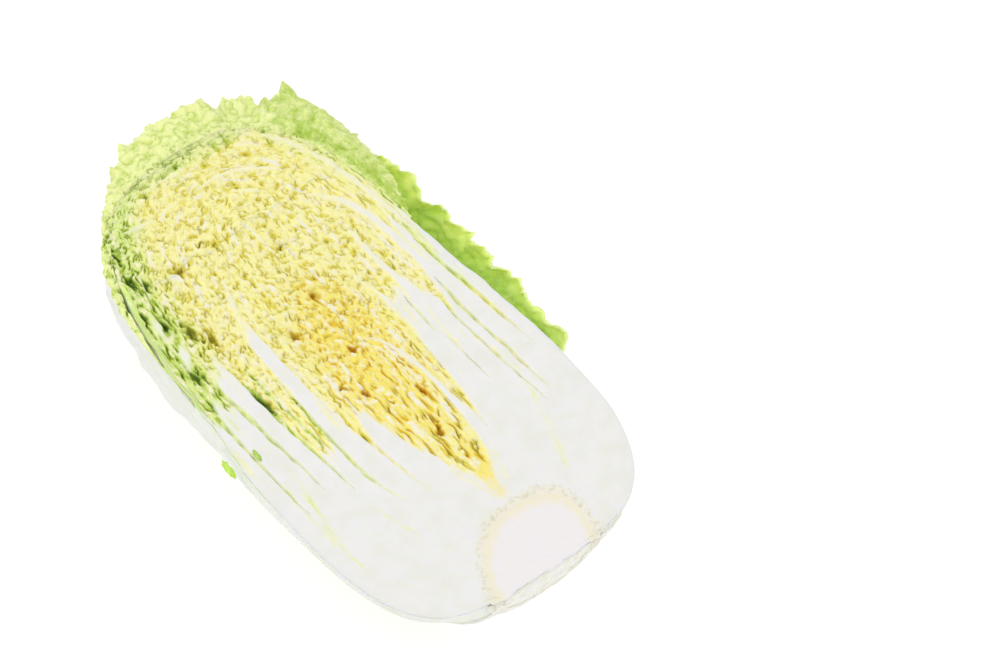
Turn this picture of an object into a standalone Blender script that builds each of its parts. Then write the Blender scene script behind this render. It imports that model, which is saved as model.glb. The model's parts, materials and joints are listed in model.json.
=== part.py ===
"""Half of a Chinese cabbage, cut lengthwise, lying on its rounded back with the cut face up.

The head is a family of nested barrels. A point has three coordinates: its level (1 on the outside, 0 on
the axis), its travel (0 at the butt, 1 at the tip, along the barrel's profile) and its turn (an angle
round the axis, 180 to 360 degrees, from the left edge of the cut over the underside to the right edge).
Leaves are stacked inwards in the order of the plant's spiral, each one laid against the one outside it.
The row frame has +Y from the butt to the leaf tips, +Z up and the cut face level.
"""

import math

import bmesh
import bpy
import numpy as np

# Driving dimensions of the head, in metres
HEAD_LENGTH = 0.272
HALF_WIDTH = 0.075
CUT_HEIGHT = 0.0722
STEM_RISE = 0.032
TIP_DROP = 0.052
TIP_REACH = 0.070
TIP_TAPER = 0.07
TAPER_START = 0.0917
TAPER_END = 0.262
BUTT_SQUARENESS = 4.0
TIP_SQUARENESS = 3.0
CENTRE_Y = 0.1422
CENTRE_X = 0.0065

# How the head departs from a turned barrel: a factor on the radius at stations along the axis, on the right
# and left of the cut plane and, on top of that, below it
RIGHT_STATIONS = ((0.045, 0.080, 0.115, 0.140, 0.190), (0.03, 0.0, -0.04, -0.075, -0.12))
LEFT_STATIONS = ((0.110, 0.150, 0.225, 0.262), (0.0, -0.03, -0.03, 0.0))
BELOW_STATIONS = (
    (0.0, 0.035, 0.075, 0.105, 0.160, 0.195, 0.228, 0.250, 0.270, 0.292),
    (0.0, -0.06, -0.065, -0.03, 0.035, 0.09, 0.13, 0.13, 0.08, 0.0),
)

# The underside of the base recedes: metres towards the tip for each metre below the cut
BUTT_SLANT = 0.25
SLANT_LEFT = 0.20
SLANT_RIGHT = -0.10
SLANT_END = 0.110

# The stem, whose side is where the leaves start
STEM_TRAVEL_OUTSIDE = 0.122
STEM_TRAVEL_RISE = 0.12
STEM_TRAVEL_TOP = 0.222
STEM_GAP = 0.003
BUTT_DEPTH = 0.003
BUTT_BEVEL = 0.0015

# The leaves: the angles of their midribs, outermost first, step by the plant's divergence
DIVERGENCE = 137.5
FIRST_ANGLE = 285.0
LEAF_COUNT = 12
STALK_REACH = 50.0
RIB_OUTER = 0.0120
RIB_INNER = 0.0080
RIB_SPREAD_BUTT = 62.0
RIB_SPREAD_TOP = 36.0
RIB_END_OUTER = 0.88
RIB_END_INNER = 0.70
BLADE = 0.0011
GAP_BUTT = 0.0008
GAP_TOP = 0.0016
CRINKLE = 0.0013

# The outer leaves lean away from the head: how much of the lean each of them has
LEAN = (1.0, 0.32, 0.45, 0.26, 0.15)
TIP_LEAN = 0.34
SIDE_LEAN = 0.24
SIDE_TIP_LEAN = 0.16
RUFFLE = 0.25

# The heart's relief: leaf edges that stand up to the cut face
RELIEF_DEPTH = 0.005
RIDGES = 5
RIDGE_WIDTH = 0.0024
HEART_GAP = 0.0012
HEART_POLE_LEVEL = 0.80

# The mesh: the turns of its columns and the travels of its rows, shared by all leaves
MERGE = 1e-5
LEFT_EDGE = 180.0
RIGHT_EDGE = 360.0
COLUMNS = np.array([180, 187, 197, 210, 225, 242, 259, 281, 298, 313, 326, 338, 350, 360], float)
LOW_ROWS = 5
HIGH_ROWS = 22
ROW_BREAK = 0.40
TOP_TRAVEL = 0.95
ROW_TRAVELS = np.linspace(ROW_BREAK, TOP_TRAVEL, HIGH_ROWS + 1)


def smooth(low, high, value):
    """0 below low, 1 above high, and an S-shaped step between them."""
    share = np.clip((np.asarray(value, float) - low) / (high - low), 0.0, 1.0)
    return share * share * (3.0 - 2.0 * share)


def barrel(level, travel):
    """Radius and distance along the axis of a nested barrel: a superellipse, squarer at the butt."""
    first = STEM_RISE * (1.0 - level)
    last = HEAD_LENGTH - np.where(level < 1.0, TIP_DROP, TIP_REACH) * (1.0 - level)
    angle = math.pi * np.asarray(travel, float)
    across = np.sin(angle)
    back = np.cos(angle)
    power = np.where(back > 0.0, BUTT_SQUARENESS, TIP_SQUARENESS)
    reach = (np.abs(across) ** power + np.abs(back) ** power) ** (-1.0 / power)
    along = (first + last) / 2.0 - (last - first) / 2.0 * back * reach
    taper = 1.0 - TIP_TAPER * smooth(TAPER_START, TAPER_END, along)
    return HALF_WIDTH * level * across * reach * taper, along


def squeeze(along, turn):
    """The factor on the radius, from the stations. Narrowing fades in over the first turns from the cut."""
    turn = np.radians(turn)
    right = smooth(0.0, 0.7, np.cos(turn))
    left = smooth(0.0, 0.7, -np.cos(turn))
    below = np.interp(along, *BELOW_STATIONS)
    below = below * smooth(0.0, 0.45, -np.sin(turn)) * np.where(below > 0.0, left, left + right)
    beside = right * np.interp(along, *RIGHT_STATIONS) + left * np.interp(along, *LEFT_STATIONS)
    return 1.0 + beside + below


def place(level, travel, turn, free=0.0):
    """Row-frame points. The table lifts what would reach below it, most on the outside. A leaf that leans
    free of the head isn't narrowed with it."""
    radius, along = barrel(level, travel)
    factor = squeeze(along, turn)
    radius = radius * (factor + free * np.maximum(1.0 - factor, 0.0))
    angle = np.radians(turn)
    outer_radius, _ = barrel(np.ones_like(np.asarray(level, float)), travel)
    lift = np.maximum(0.0, -(CUT_HEIGHT + outer_radius * factor * np.sin(angle)))
    x = radius * np.cos(angle) - CENTRE_X
    y = along - CENTRE_Y + 0.0 * x
    z = CUT_HEIGHT + radius * np.sin(angle) + lift * smooth(0.45, 1.0, level)
    return np.stack(np.broadcast_arrays(x, y, z), axis=-1)


def receded(points):
    """Points moved towards the tip, the more the lower they are, up to where the slant ends."""
    x = points[:, 0] + CENTRE_X
    slant = BUTT_SLANT + SLANT_LEFT * smooth(0.026, 0.048, -x) + SLANT_RIGHT * smooth(0.026, 0.048, x)
    shift = slant * (CUT_HEIGHT - points[:, 2]) * (1.0 - smooth(0.0, SLANT_END, points[:, 1] + CENTRE_Y))
    return points + shift[:, None] * (0.0, 1.0, 0.0)


def stem_travel(level):
    """How far along its profile a barrel leaves the stem."""
    travel = STEM_TRAVEL_OUTSIDE + STEM_TRAVEL_RISE * (1.0 - np.clip(level, 0.0, 1.0))
    return np.minimum(travel, STEM_TRAVEL_TOP)


def spiral():
    """Centre angles, outermost first, of the leaves whose stalks still reach this half of the stem."""
    angles = []
    step = 0
    while len(angles) < LEAF_COUNT:
        angle = (FIRST_ANGLE - DIVERGENCE * step) % 360.0
        step += 1
        if angle < LEFT_EDGE:
            if min(LEFT_EDGE - angle, angle) > STALK_REACH:
                continue
            angle = angle + 360.0 if angle < 90.0 else angle
        angles.append(angle)
    return angles


CENTRES = spiral()


def share_inwards(number):
    return number / (LEAF_COUNT - 1.0)


def tip_travel(number):
    """Where a leaf's blade ends. The outermost leaf is the shortest."""
    return 0.85 if number == 0 else 0.95 - 0.025 * (number % 3)


def half_angle(number, travel):
    """Half the angle that a leaf spans: a narrow stalk, a wide blade and a rounded tip."""
    end = tip_travel(number)
    wide = 0.0 if number == 0 else 36.0
    tip = 20.0 if number == 0 else 22.0
    return 60.0 + wide * smooth(0.16, 0.45, travel) - tip * smooth(end - 0.22, end, travel)


def rib(number, travel, turn):
    """Thickness that the midrib adds to the blade: a crescent across, fading out towards the tip."""
    share = share_inwards(number)
    thick = RIB_OUTER + (RIB_INNER - RIB_OUTER) * share
    end = RIB_END_OUTER + (RIB_END_INNER - RIB_END_OUTER) * share
    spread = RIB_SPREAD_BUTT + (RIB_SPREAD_TOP - RIB_SPREAD_BUTT) * smooth(0.15, 0.5, travel)
    across = np.exp(-(((turn - CENTRES[number]) / spread) ** 2))
    return thick * across * (1.0 - smooth(0.36, end, travel))


def slot(number, travel, turn):
    """Share of the radius that a leaf and the gap behind it take up, fading out past its margins."""
    gap = GAP_BUTT + (GAP_TOP - GAP_BUTT) * smooth(0.2, 0.5, travel)
    past = np.abs(turn - CENTRES[number]) - half_angle(number, travel)
    window = (1.0 - smooth(3.0, 21.0, past)) * (1.0 - smooth(0.01, 0.07, travel - tip_travel(number)))
    return (rib(number, travel, turn) + BLADE + gap) / HALF_WIDTH * window


def depth(number, travel, turn):
    """Share of the radius taken up by the leaves outside this one."""
    return sum((slot(i, travel, turn) for i in range(number)), 0.0 * travel * turn)


def lean(number, travel, turn):
    """How far a leaf leans out, in levels: at its tip, and for the outermost beside the right edge."""
    if number >= len(LEAN):
        return 0.0 * travel * turn
    column = np.interp(turn, COLUMNS, np.arange(len(COLUMNS)))
    row = np.interp(travel, ROW_TRAVELS, np.arange(len(ROW_TRAVELS)))
    swing = np.cos(math.pi * column) * np.cos(math.pi * row)
    tip = TIP_LEAN * smooth(0.66, 0.95, travel)
    side = SIDE_LEAN * smooth(0.30, 0.46, travel) + SIDE_TIP_LEAN * smooth(0.55, 0.85, travel)
    out = np.maximum(tip, side * smooth(308.0, 344.0, turn) * (number == 0))
    return LEAN[number] * out * (1.0 + RUFFLE * swing * smooth(0.05, 0.15, out))


def crinkle(row, travel, turn):
    """A zigzag that all the blades share beside the cut."""
    beside = np.maximum(1.0 - smooth(186.0, 226.0, turn), smooth(312.0, 351.0, turn))
    sign = 1.0 - 2.0 * (row % 2)
    return sign * CRINKLE / HALF_WIDTH * smooth(ROW_BREAK, 0.58, travel) * beside


def rows_between(first, last):
    """Travels of a leaf's rows. Above ROW_BREAK every leaf has the same rows, so their facets agree."""
    low = first + (ROW_BREAK - first) * np.arange(LOW_ROWS)[:, None] / LOW_ROWS
    high = ROW_TRAVELS[ROW_TRAVELS <= last + 1e-9]
    return np.vstack([low, np.repeat(high[:, None], low.shape[1], axis=1)])


def leaf_face(number, inner):
    """Points of one face of a leaf at all the shared columns, and the travels of its rows."""
    thick = 0.0 if not inner else 1.0
    start = np.full((1, len(COLUMNS)), STEM_TRAVEL_OUTSIDE)
    for _ in range(4):
        level = 1.0 - depth(number, start, COLUMNS)
        level = level - thick * (rib(number, start, COLUMNS) + BLADE) / HALF_WIDTH
        start = stem_travel(level) + STEM_GAP
    travel = rows_between(start, tip_travel(number))
    turn = COLUMNS + 0.0 * travel
    row = np.arange(len(travel))[:, None]
    out = lean(number, travel, turn)
    level = 1.0 - depth(number, travel, turn) + crinkle(row, travel, turn) + out
    level = level - thick * (rib(number, travel, turn) + BLADE) / HALF_WIDTH
    return place(level, travel, turn, smooth(0.0, 0.15, out)), travel.mean(axis=1)


def leaf_margins(number, travel):
    """The turns of a leaf's two margins on each row, snapped to a column that is very near."""
    edges = []
    for side, limit in ((-1.0, LEFT_EDGE), (1.0, RIGHT_EDGE)):
        edge = CENTRES[number] + side * half_angle(number, travel)
        edge = np.maximum(edge, limit) if side < 0.0 else np.minimum(edge, limit)
        nearest = COLUMNS[np.abs(edge[:, None] - COLUMNS).argmin(axis=1)]
        edges.append(np.where(np.abs(edge - nearest) < 1.5, nearest, edge))
    return edges


def trimmed(points, low, high):
    """The columns between a leaf's margins. A margin lies on the straight line between two columns."""
    turn = np.clip(COLUMNS, low[:, None], high[:, None])
    moved = [
        [np.interp(turn[row], COLUMNS, points[row, :, axis]) for axis in range(3)]
        for row in range(len(points))
    ]
    return np.moveaxis(np.array(moved), 1, 2)


def add_grid(corners, first, faces, flip):
    """Adds a grid's triangles. Both faces of a leaf are split along the same diagonals."""
    a, b = corners[:-1, :-1].ravel(), corners[1:, :-1].ravel()
    c, d = corners[1:, 1:].ravel(), corners[:-1, 1:].ravel()
    triangles = np.concatenate([np.stack([a, b, c], 1), np.stack([a, c, d], 1)]) + first
    faces.extend((triangles[:, ::-1] if flip else triangles).tolist())


def object_from(name, points, faces, material):
    """A named object with one closed mesh, with faces pointing out."""
    mesh = bpy.data.meshes.new(name)
    mesh.from_pydata(receded(points).tolist(), [], faces)
    shape = bmesh.new()
    shape.from_mesh(mesh)
    bmesh.ops.remove_doubles(shape, verts=shape.verts, dist=MERGE)
    bmesh.ops.recalc_face_normals(shape, faces=shape.faces)
    if shape.calc_volume(signed=True) < 0.0:
        bmesh.ops.reverse_faces(shape, faces=shape.faces)
    shape.to_mesh(mesh)
    shape.free()
    mesh.shade_smooth()
    mesh.set_sharp_from_angle(angle=math.radians(40.0))
    mesh.materials.append(material)
    item = bpy.data.objects.new(name, mesh)
    bpy.context.scene.collection.objects.link(item)
    return item


def solid_sheet(name, outer, inner, material):
    """Closes two grids of points into one solid, with a rim on all four sides."""
    rows, columns = outer.shape[:2]
    count = rows * columns
    numbers = np.arange(count).reshape(rows, columns)
    faces = []
    add_grid(numbers, 0, faces, False)
    add_grid(numbers, count, faces, True)
    for edge in (numbers[0, :], numbers[:, -1], numbers[-1, ::-1], numbers[::-1, 0]):
        add_grid(np.stack([edge, edge + count]), 0, faces, True)
    points = np.concatenate([outer.reshape(-1, 3), inner.reshape(-1, 3)])
    return object_from(name, points, faces, material)


def make_leaf(number, material):
    """One leaf as a curved sheet, thick at its midrib, cut where it meets the cut face."""
    outer, travel = leaf_face(number, False)
    inner, _ = leaf_face(number, True)
    low, high = leaf_margins(number, travel)
    return solid_sheet(
        f"leaf_{number + 1:02d}", trimmed(outer, low, high), trimmed(inner, low, high), material
    )


def heart_level(travel, turn):
    """The level of the heart's outside: what the leaves leave, closing to one point at the tip."""
    level = 1.0 - depth(LEAF_COUNT, travel, turn) - HEART_GAP / HALF_WIDTH
    return level + (HEART_POLE_LEVEL - level) * smooth(TOP_TRAVEL, 1.0, travel)


def ridge_rows():
    """The relief's rows, from the axis out: a share of the heart's level and a height each."""
    half = RIDGE_WIDTH / 2.0 / (HALF_WIDTH * 0.55)
    rows = [(0.0, 0.0)]
    for ridge in range(1, RIDGES):
        middle = ridge / (RIDGES - 0.3)
        rows += [(middle - half, 0.0), (middle - half, 1.0), (middle + half, 1.0), (middle + half, 0.0)]
    rows += [(1.0 - 2.0 * half, 0.0), (1.0 - 2.0 * half, 1.0), (1.0, 1.0)]
    return rows


def heart_rows(share, turn):
    """Travels of the heart's rows at a share of its level: the leaves' rows, and three more to the tip."""
    start = np.full_like(turn, 0.15)
    for _ in range(4):
        start = stem_travel(share * heart_level(start, turn)) + STEM_GAP
    low = start + (ROW_BREAK - start) * np.arange(LOW_ROWS)[:, None] / LOW_ROWS
    high = np.concatenate([ROW_TRAVELS, [0.97, 0.985, 1.0]])
    return np.vstack([low, np.repeat(high[:, None], len(turn), axis=1)])


def heart_shell(share, turn):
    """Points of the nested surface inside the heart at a share of its level."""
    travel = heart_rows(share, turn)
    row = np.arange(len(travel))[:, None]
    wave = crinkle(row, travel, turn) * smooth(0.0, 0.2, share) * (1.0 - smooth(0.93, 0.97, travel))
    return place(share * heart_level(travel, turn) + wave, travel, turn), travel


def make_heart(material):
    """The packed middle of the head: one body whose cut face carries the edges of its leaves."""
    outside, _ = heart_shell(1.0, COLUMNS)
    grids = [outside]
    for column in (0, -1):
        sheet = []
        for share, height in ridge_rows():
            shell, travel = heart_shell(share, COLUMNS[[column]])
            drop = RELIEF_DEPTH * (1.0 - height) * smooth(0.24, 0.36, travel[:, 0])
            shell[:, 0, 2] = CUT_HEIGHT - drop * (np.arange(len(travel)) > 0)
            sheet.append(shell[:, 0])
        grids.append(np.stack(sheet))
    grids.append(np.stack([heart_shell(share, COLUMNS)[0][0] for share, _ in ridge_rows()]))
    points = []
    faces = []
    for grid in grids:
        add_grid(np.arange(grid.shape[0] * grid.shape[1]).reshape(grid.shape[:2]), len(points), faces, False)
        points.extend(grid.reshape(-1, 3))
    return object_from("heart", np.array(points), faces, material)


def make_stem(material):
    """The stump: a dome that the leaves grow from, turned half round, with a trimmed butt."""
    levels = np.array([0.0, 0.08, 0.165, 0.24, 0.32, 0.42, 0.55, 0.7, 0.85, 1.0])
    radius, along = barrel(levels, stem_travel(levels))
    radius = np.concatenate([radius, [radius[-1], radius[-1] - BUTT_BEVEL, 0.0]])
    along = np.concatenate([along, [BUTT_BEVEL - BUTT_DEPTH, -BUTT_DEPTH, -BUTT_DEPTH]])
    turn = np.linspace(LEFT_EDGE, RIGHT_EDGE, 19)[:, None]
    radius = radius * squeeze(along, turn)
    angle = np.radians(turn)
    outside = np.stack(
        np.broadcast_arrays(
            radius * np.cos(angle) - CENTRE_X, along - CENTRE_Y, CUT_HEIGHT + radius * np.sin(angle)
        ),
        axis=-1,
    )
    axis = outside[0] * (0.0, 1.0, 1.0) - (CENTRE_X, 0.0, 0.0)
    points = []
    faces = []
    for grid in (outside, np.stack([axis, outside[0]]), np.stack([outside[-1], axis])):
        add_grid(np.arange(grid.shape[0] * grid.shape[1]).reshape(grid.shape[:2]), len(points), faces, False)
        points.extend(grid.reshape(-1, 3))
    return object_from("stem", np.array(points), faces, material)


def make_material(name, colour, roughness):
    """A plain finish with the part's own colour."""
    material = bpy.data.materials.new(name)
    material.use_nodes = True
    shader = material.node_tree.nodes["Principled BSDF"]
    shader.inputs["Base Color"].default_value = (*colour, 1.0)
    shader.inputs["Roughness"].default_value = roughness
    shader.inputs["Metallic"].default_value = 0.0
    return material


def clear_scene():
    for item in list(bpy.data.objects):
        bpy.data.objects.remove(item, do_unlink=True)


def main():
    clear_scene()
    green = make_material("outer_leaf_green", (0.55, 0.72, 0.25), 0.45)
    pale = make_material("inner_leaf_pale", (0.90, 0.92, 0.72), 0.45)
    yellow = make_material("heart_yellow", (0.95, 0.88, 0.45), 0.5)
    white = make_material("stem_white", (0.93, 0.91, 0.86), 0.4)
    make_stem(white)
    for number in range(LEAF_COUNT):
        make_leaf(number, green if number < 3 else pale)
    make_heart(yellow)


main()
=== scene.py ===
# %% [markdown]
# # Half of a Chinese cabbage
# A head of Chinese cabbage, cut lengthwise, lies on its rounded back with the cut face up. Two things make it
# what it is: a level cut face, where dozens of crumpled leaves are sliced through and show as curly pale edges
# over yellow hollows, and the few outer leaves round it, each with a broad white midrib, a blistered green blade
# and a curled margin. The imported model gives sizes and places, and this file gives each piece its real surface.

# %% The frame
import json

import bpy
import numpy as np
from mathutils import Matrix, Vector

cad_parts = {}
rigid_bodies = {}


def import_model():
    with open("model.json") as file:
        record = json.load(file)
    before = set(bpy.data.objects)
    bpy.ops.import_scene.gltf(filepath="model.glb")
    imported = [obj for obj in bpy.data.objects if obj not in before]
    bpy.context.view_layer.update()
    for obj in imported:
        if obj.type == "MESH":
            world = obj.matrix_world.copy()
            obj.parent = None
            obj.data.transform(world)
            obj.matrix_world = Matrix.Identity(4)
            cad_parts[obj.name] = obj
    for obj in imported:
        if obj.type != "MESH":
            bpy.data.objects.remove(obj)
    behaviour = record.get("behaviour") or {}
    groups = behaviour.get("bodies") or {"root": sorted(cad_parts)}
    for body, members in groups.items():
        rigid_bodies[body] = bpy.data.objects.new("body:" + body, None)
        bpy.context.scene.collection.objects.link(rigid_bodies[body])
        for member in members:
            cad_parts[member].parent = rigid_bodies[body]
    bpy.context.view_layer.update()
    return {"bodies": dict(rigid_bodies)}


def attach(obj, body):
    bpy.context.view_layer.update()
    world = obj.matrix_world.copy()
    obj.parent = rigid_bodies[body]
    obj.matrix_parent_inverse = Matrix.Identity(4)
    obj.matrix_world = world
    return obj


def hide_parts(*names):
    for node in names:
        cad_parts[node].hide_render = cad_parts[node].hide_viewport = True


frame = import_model()
BODY = list(frame["bodies"])[0]

# %% [markdown]
# ## The head's own coordinates
# A cabbage grows as leaves wrapped round leaves, so the natural coordinates are nested barrels. A point has a
# level (1 on the outside, 0 on the axis), a travel (0 at the butt, 1 at the tip, along the barrel's profile) and
# a turn (180 at the left edge of the cut, 270 underneath, 360 at the right edge). Plain x, y, z would need a new
# formula for each leaf. Here one formula places them all, and leaves that differ in level can't cross. Lengths
# are in millimetres from the butt's centre on the cut face, and turn into metres only when a mesh is made.

# %% Sizes in millimetres
LENGTH, HALF_WIDTH, CUT_HEIGHT = 272, 75, 72.2
STEM_RADIUS, STEM_RISE = 30, 32
TIP_DROP, TIP_REACH = 52, 70  # how much shorter the innermost barrel is, and how much longer one outside is
TIP_TAPER, FULL_TAPER_AT = 0.07, 262
BUTT_END, FRONT_EDGE = -1.8, -1
ORIGIN = (6.5, 142.2, -CUT_HEIGHT)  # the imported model's origin, on the table under the head's middle
print("cut face", LENGTH, "by", 2 * HALF_WIDTH, "mm,", CUT_HEIGHT, "mm above the table")


def tell(what, *numbers):
    """Prints what was made with its measures, rounded."""
    print(what, *(round(float(number), 2) for number in numbers))


# %% Nested barrels
def smooth(low, high, value):
    """0 below low, 1 above high, and an S-shaped step between them."""
    share = np.clip((value - low) / (high - low), 0, 1)
    return share * share * (3 - 2 * share)


def bump(value, middle, width):
    """A hill of height 1 round middle: e to the power of minus the squared distance in widths."""
    return np.exp(-(((value - middle) / width) ** 2))


def taper(along):
    """A factor on the radius that falls from 1 to 0.93 towards the tip."""
    return 1 - TIP_TAPER * smooth(0.35, 1, along / FULL_TAPER_AT)


def barrel(level, travel):
    """Radius and distance along the axis: a superellipse, squarer at the butt (power 4) than at the tip (3)."""
    first = STEM_RISE * (1 - level)
    last = LENGTH - np.where(level < 1, TIP_DROP, TIP_REACH) * (1 - level)
    across, back = np.sin(np.pi * travel), np.cos(np.pi * travel)
    power = np.where(back > 0, 4, 3)
    reach = (np.abs(across) ** power + np.abs(back) ** power) ** (-1 / power)
    along = (first + last) / 2 - (last - first) / 2 * back * reach
    return HALF_WIDTH * level * across * reach * taper(along), along


def outer_radius(travel):
    """Radius of the outermost barrel."""
    return barrel(1, travel)[0]


def squeeze(along, turn):
    """A factor on the radius: an eighth narrower on the right of the upper half, and under the cut drawn in at the
    base but full towards the tip, most of all on the left."""
    right = smooth(0, 0.7, np.cos(np.radians(turn)))
    left = smooth(0, 0.7, -np.cos(np.radians(turn)))
    below = smooth(0, 0.45, -np.sin(np.radians(turn)))
    factor = 1 + right * (0.03 * smooth(80, 45, along) - 0.12 * smooth(70, 190, along))
    factor = factor - 0.03 * left * smooth(110, 150, along) * smooth(262, 225, along)
    stations = (0, 35, 75, 105, 160, 195, 228, 247, 262, 292)
    side = np.interp(along, stations, (0, -0.06, -0.065, -0.03, 0.035, 0.09, 0.12, 0.10, 0.03, 0))
    return factor + below * side * np.where(side > 0, left, left + right)


def place(level, travel, turn, out=0, free=0):
    """Points at a level, travel and turn, moved out by some millimetres along the profile's normal. The table lifts
    what would reach below it, most on the outside, and what leans free of the head isn't squeezed."""
    radius, along = barrel(level, travel)
    ahead, ahead_along = barrel(level, travel + 0.002)
    run = np.hypot(ahead - radius, ahead_along - along)
    out_radius, out_along = (ahead_along - along) / run, (radius - ahead) / run
    factor = squeeze(along, turn)
    radius = (radius + out * out_radius) * (factor + free * np.maximum(1 - factor, 0))
    along = along + out * out_along
    angle = np.radians(turn)
    lift = np.maximum(0, -(CUT_HEIGHT + outer_radius(travel) * factor * np.sin(angle))) * smooth(0.45, 1, level)
    return np.stack(np.broadcast_arrays(radius * np.cos(angle), along, radius * np.sin(angle) + lift), axis=-1)


tell("widest radius, mm", outer_radius(np.linspace(0, 1, 200)).max())

# %% [markdown]
# ## Uneven growth
# Nothing in a leaf repeats exactly, so every surface needs smooth unevenness that is the same on each run.
# Random numbers for each vertex would give grit, not growth. Gradient noise gives soft swellings of a chosen
# size: each corner of a square lattice gets a slope from a hashed number, and the slopes are blended between.


# %% Gradient noise
def lattice_turn(seed, i, j):
    """A fixed angle for each lattice corner: its whole numbers multiplied, folded and cut to 16 bits."""
    n = (i.astype(np.int64) * 374761393 + j.astype(np.int64) * 668265263 + seed * 974634777) & 0xFFFFFFFF
    n = ((n ^ (n >> 13)) * 1274126177) & 0xFFFFFFFF
    return ((n ^ (n >> 16)) & 0xFFFF) / 65536 * 2 * np.pi


def ripple(seed, x, y, wide=1, long=1):
    """Smooth noise between about -1 and 1 with swellings wide by long: the corners' slopes, blended by a
    quintic."""
    x, y = np.broadcast_arrays(x / wide, y / long)
    i, j = np.floor(x), np.floor(y)
    fx, fy = x - i, y - j
    wx = fx**3 * (fx * (fx * 6 - 15) + 10)
    wy = fy**3 * (fy * (fy * 6 - 15) + 10)
    total = 0
    for a in (0, 1):
        for b in (0, 1):
            turn = lattice_turn(seed, i + a, j + b)
            push = np.cos(turn) * (fx - a) + np.sin(turn) * (fy - b)
            total = total + push * (wx if a else 1 - wx) * (wy if b else 1 - wy)
    return total * 1.5


def ripples(x, y, *parts):
    """A sum of noises. Each part gives the seed, the height and the two sizes of its swellings."""
    return sum(height * ripple(seed, x, y, wide, long) for seed, height, wide, long in parts)


sample = ripple(1, *np.meshgrid(np.arange(60), np.arange(60)), 3.7, 3.7)
tell("noise from and to", sample.min(), sample.max())

# %% [markdown]
# ## Meshes from grids of points
# Every piece here is a grid of rows and columns, worked out as one array. A leaf is two grids, its outer and its
# inner face, closed by a rim. The sliced middle is one grid of heights on two thick slabs. Blender gets the points
# and faces as flat arrays, which is far quicker than adding them one at a time, and a signed volume tells whether
# the faces point outwards.


# %% Grid to mesh
def grid_faces(numbers):
    """Quads of a grid of vertex numbers."""
    corners = (numbers[:-1, :-1], numbers[1:, :-1], numbers[1:, 1:], numbers[:-1, 1:])
    return np.stack([c.ravel() for c in corners], axis=1)


def signed_volume(points, quads):
    """Volume inside the faces, positive if they point out: the sum of the tetrahedra that they make with 0."""
    a, b, c, d = (points[quads[:, k]] for k in range(4))
    return float((np.einsum("ij,ij->i", a, np.cross(b, c)) + np.einsum("ij,ij->i", a, np.cross(c, d))).sum() / 6)


def slanted(points):
    """The head was trimmed at a slant: the lower a point lies, the further back it moves, most at the left corner.
    The slant fades out over the first 110 mm."""
    x, y, z = points.T
    slant = 0.25 + 0.20 * smooth(26, 48, -x) - 0.10 * smooth(26, 48, x)
    shift = -slant * z * smooth(110, 0, y)
    return points + shift[:, None] * (0, 1, 0)


def make_piece(name, points, quads, material, values, hard=None):
    """A mesh object in metres with named values on its vertices. A quad with the same corner twice becomes a
    triangle. Edges inside the set hard are kept sharp."""
    metres = (slanted(points) - ORIGIN) / 1000
    if signed_volume(metres, quads) < 0:
        quads = quads[:, ::-1]
    keep = np.ones(quads.shape, bool)
    keep[quads[:, 2] == quads[:, 3], 3] = False
    keep[quads[:, 0] == quads[:, 1], 1] = False
    lengths = keep.sum(axis=1)
    mesh = bpy.data.meshes.new(name)
    mesh.vertices.add(len(metres))
    mesh.vertices.foreach_set("co", metres.astype(np.float32).ravel())
    mesh.loops.add(int(lengths.sum()))
    mesh.loops.foreach_set("vertex_index", quads[keep].astype(np.int32))
    mesh.polygons.add(len(quads))
    starts = np.concatenate([[0], np.cumsum(lengths)[:-1]])
    mesh.polygons.foreach_set("loop_start", starts.astype(np.int32))
    mesh.update(calc_edges=True)
    mesh.validate()
    for key, value in values.items():
        layer = mesh.attributes.new(key, "FLOAT", "POINT")
        layer.data.foreach_set("value", np.broadcast_to(value, (len(metres),)).astype(np.float32))
    mesh.shade_smooth()
    if hard is not None:
        ends = np.empty(len(mesh.edges) * 2, np.int32)
        mesh.edges.foreach_get("vertices", ends)
        sharp = mesh.attributes.new("sharp_edge", "BOOLEAN", "EDGE")
        sharp.data.foreach_set("value", hard[ends.reshape(-1, 2)].all(axis=1))
    mesh.materials.append(material)
    item = bpy.data.objects.new(name, mesh)
    bpy.context.scene.collection.objects.link(item)
    print(name, "triangles", int((lengths - 2).sum()))
    return item


def make_sheet(name, outer, inner, material, outer_values, inner_values):
    """Closes two grids of points into one solid sheet with a rim on its four sides."""
    grid = outer.shape[:2]
    count = grid[0] * grid[1]
    numbers = np.arange(count).reshape(grid)
    rims = [numbers[0, ::-1], numbers[:, 0], numbers[-1, :], numbers[::-1, -1]]
    quads = [grid_faces(numbers), grid_faces(numbers)[:, ::-1] + count]
    quads += [grid_faces(np.stack([rim, rim + count])) for rim in rims]
    points = np.concatenate([outer.reshape(-1, 3), inner.reshape(-1, 3)])
    values = {
        key: np.concatenate([np.broadcast_to(v, grid).ravel() for v in (value, inner_values[key])])
        for key, value in outer_values.items()
    }
    return make_piece(name, points, np.concatenate(quads), material, values)


print("a grid of 3 by 3 points has", len(grid_faces(np.arange(9).reshape(3, 3))), "faces")

# %% [markdown]
# ## Writing shader maths as Python
# A leaf's colour is a mixture: white where the rib is, lime or green on the blade, paler on the veins. Node trees
# drawn by hand hide such sums in dozens of boxes. Here a small class wraps a socket, so that an expression such
# as 1 - rib * 0.5 adds the Math nodes by itself, and one method adds any other node.


# %% Sockets as values
def colour(code):
    """Linear red, green, blue and an alpha of 1, from a web colour."""
    parts = [int(code[i : i + 2], 16) / 255 for i in (0, 2, 4)]
    return (*(p / 12.92 if p < 0.04045 else ((p + 0.055) / 1.055) ** 2.4 for p in parts), 1)


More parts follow.
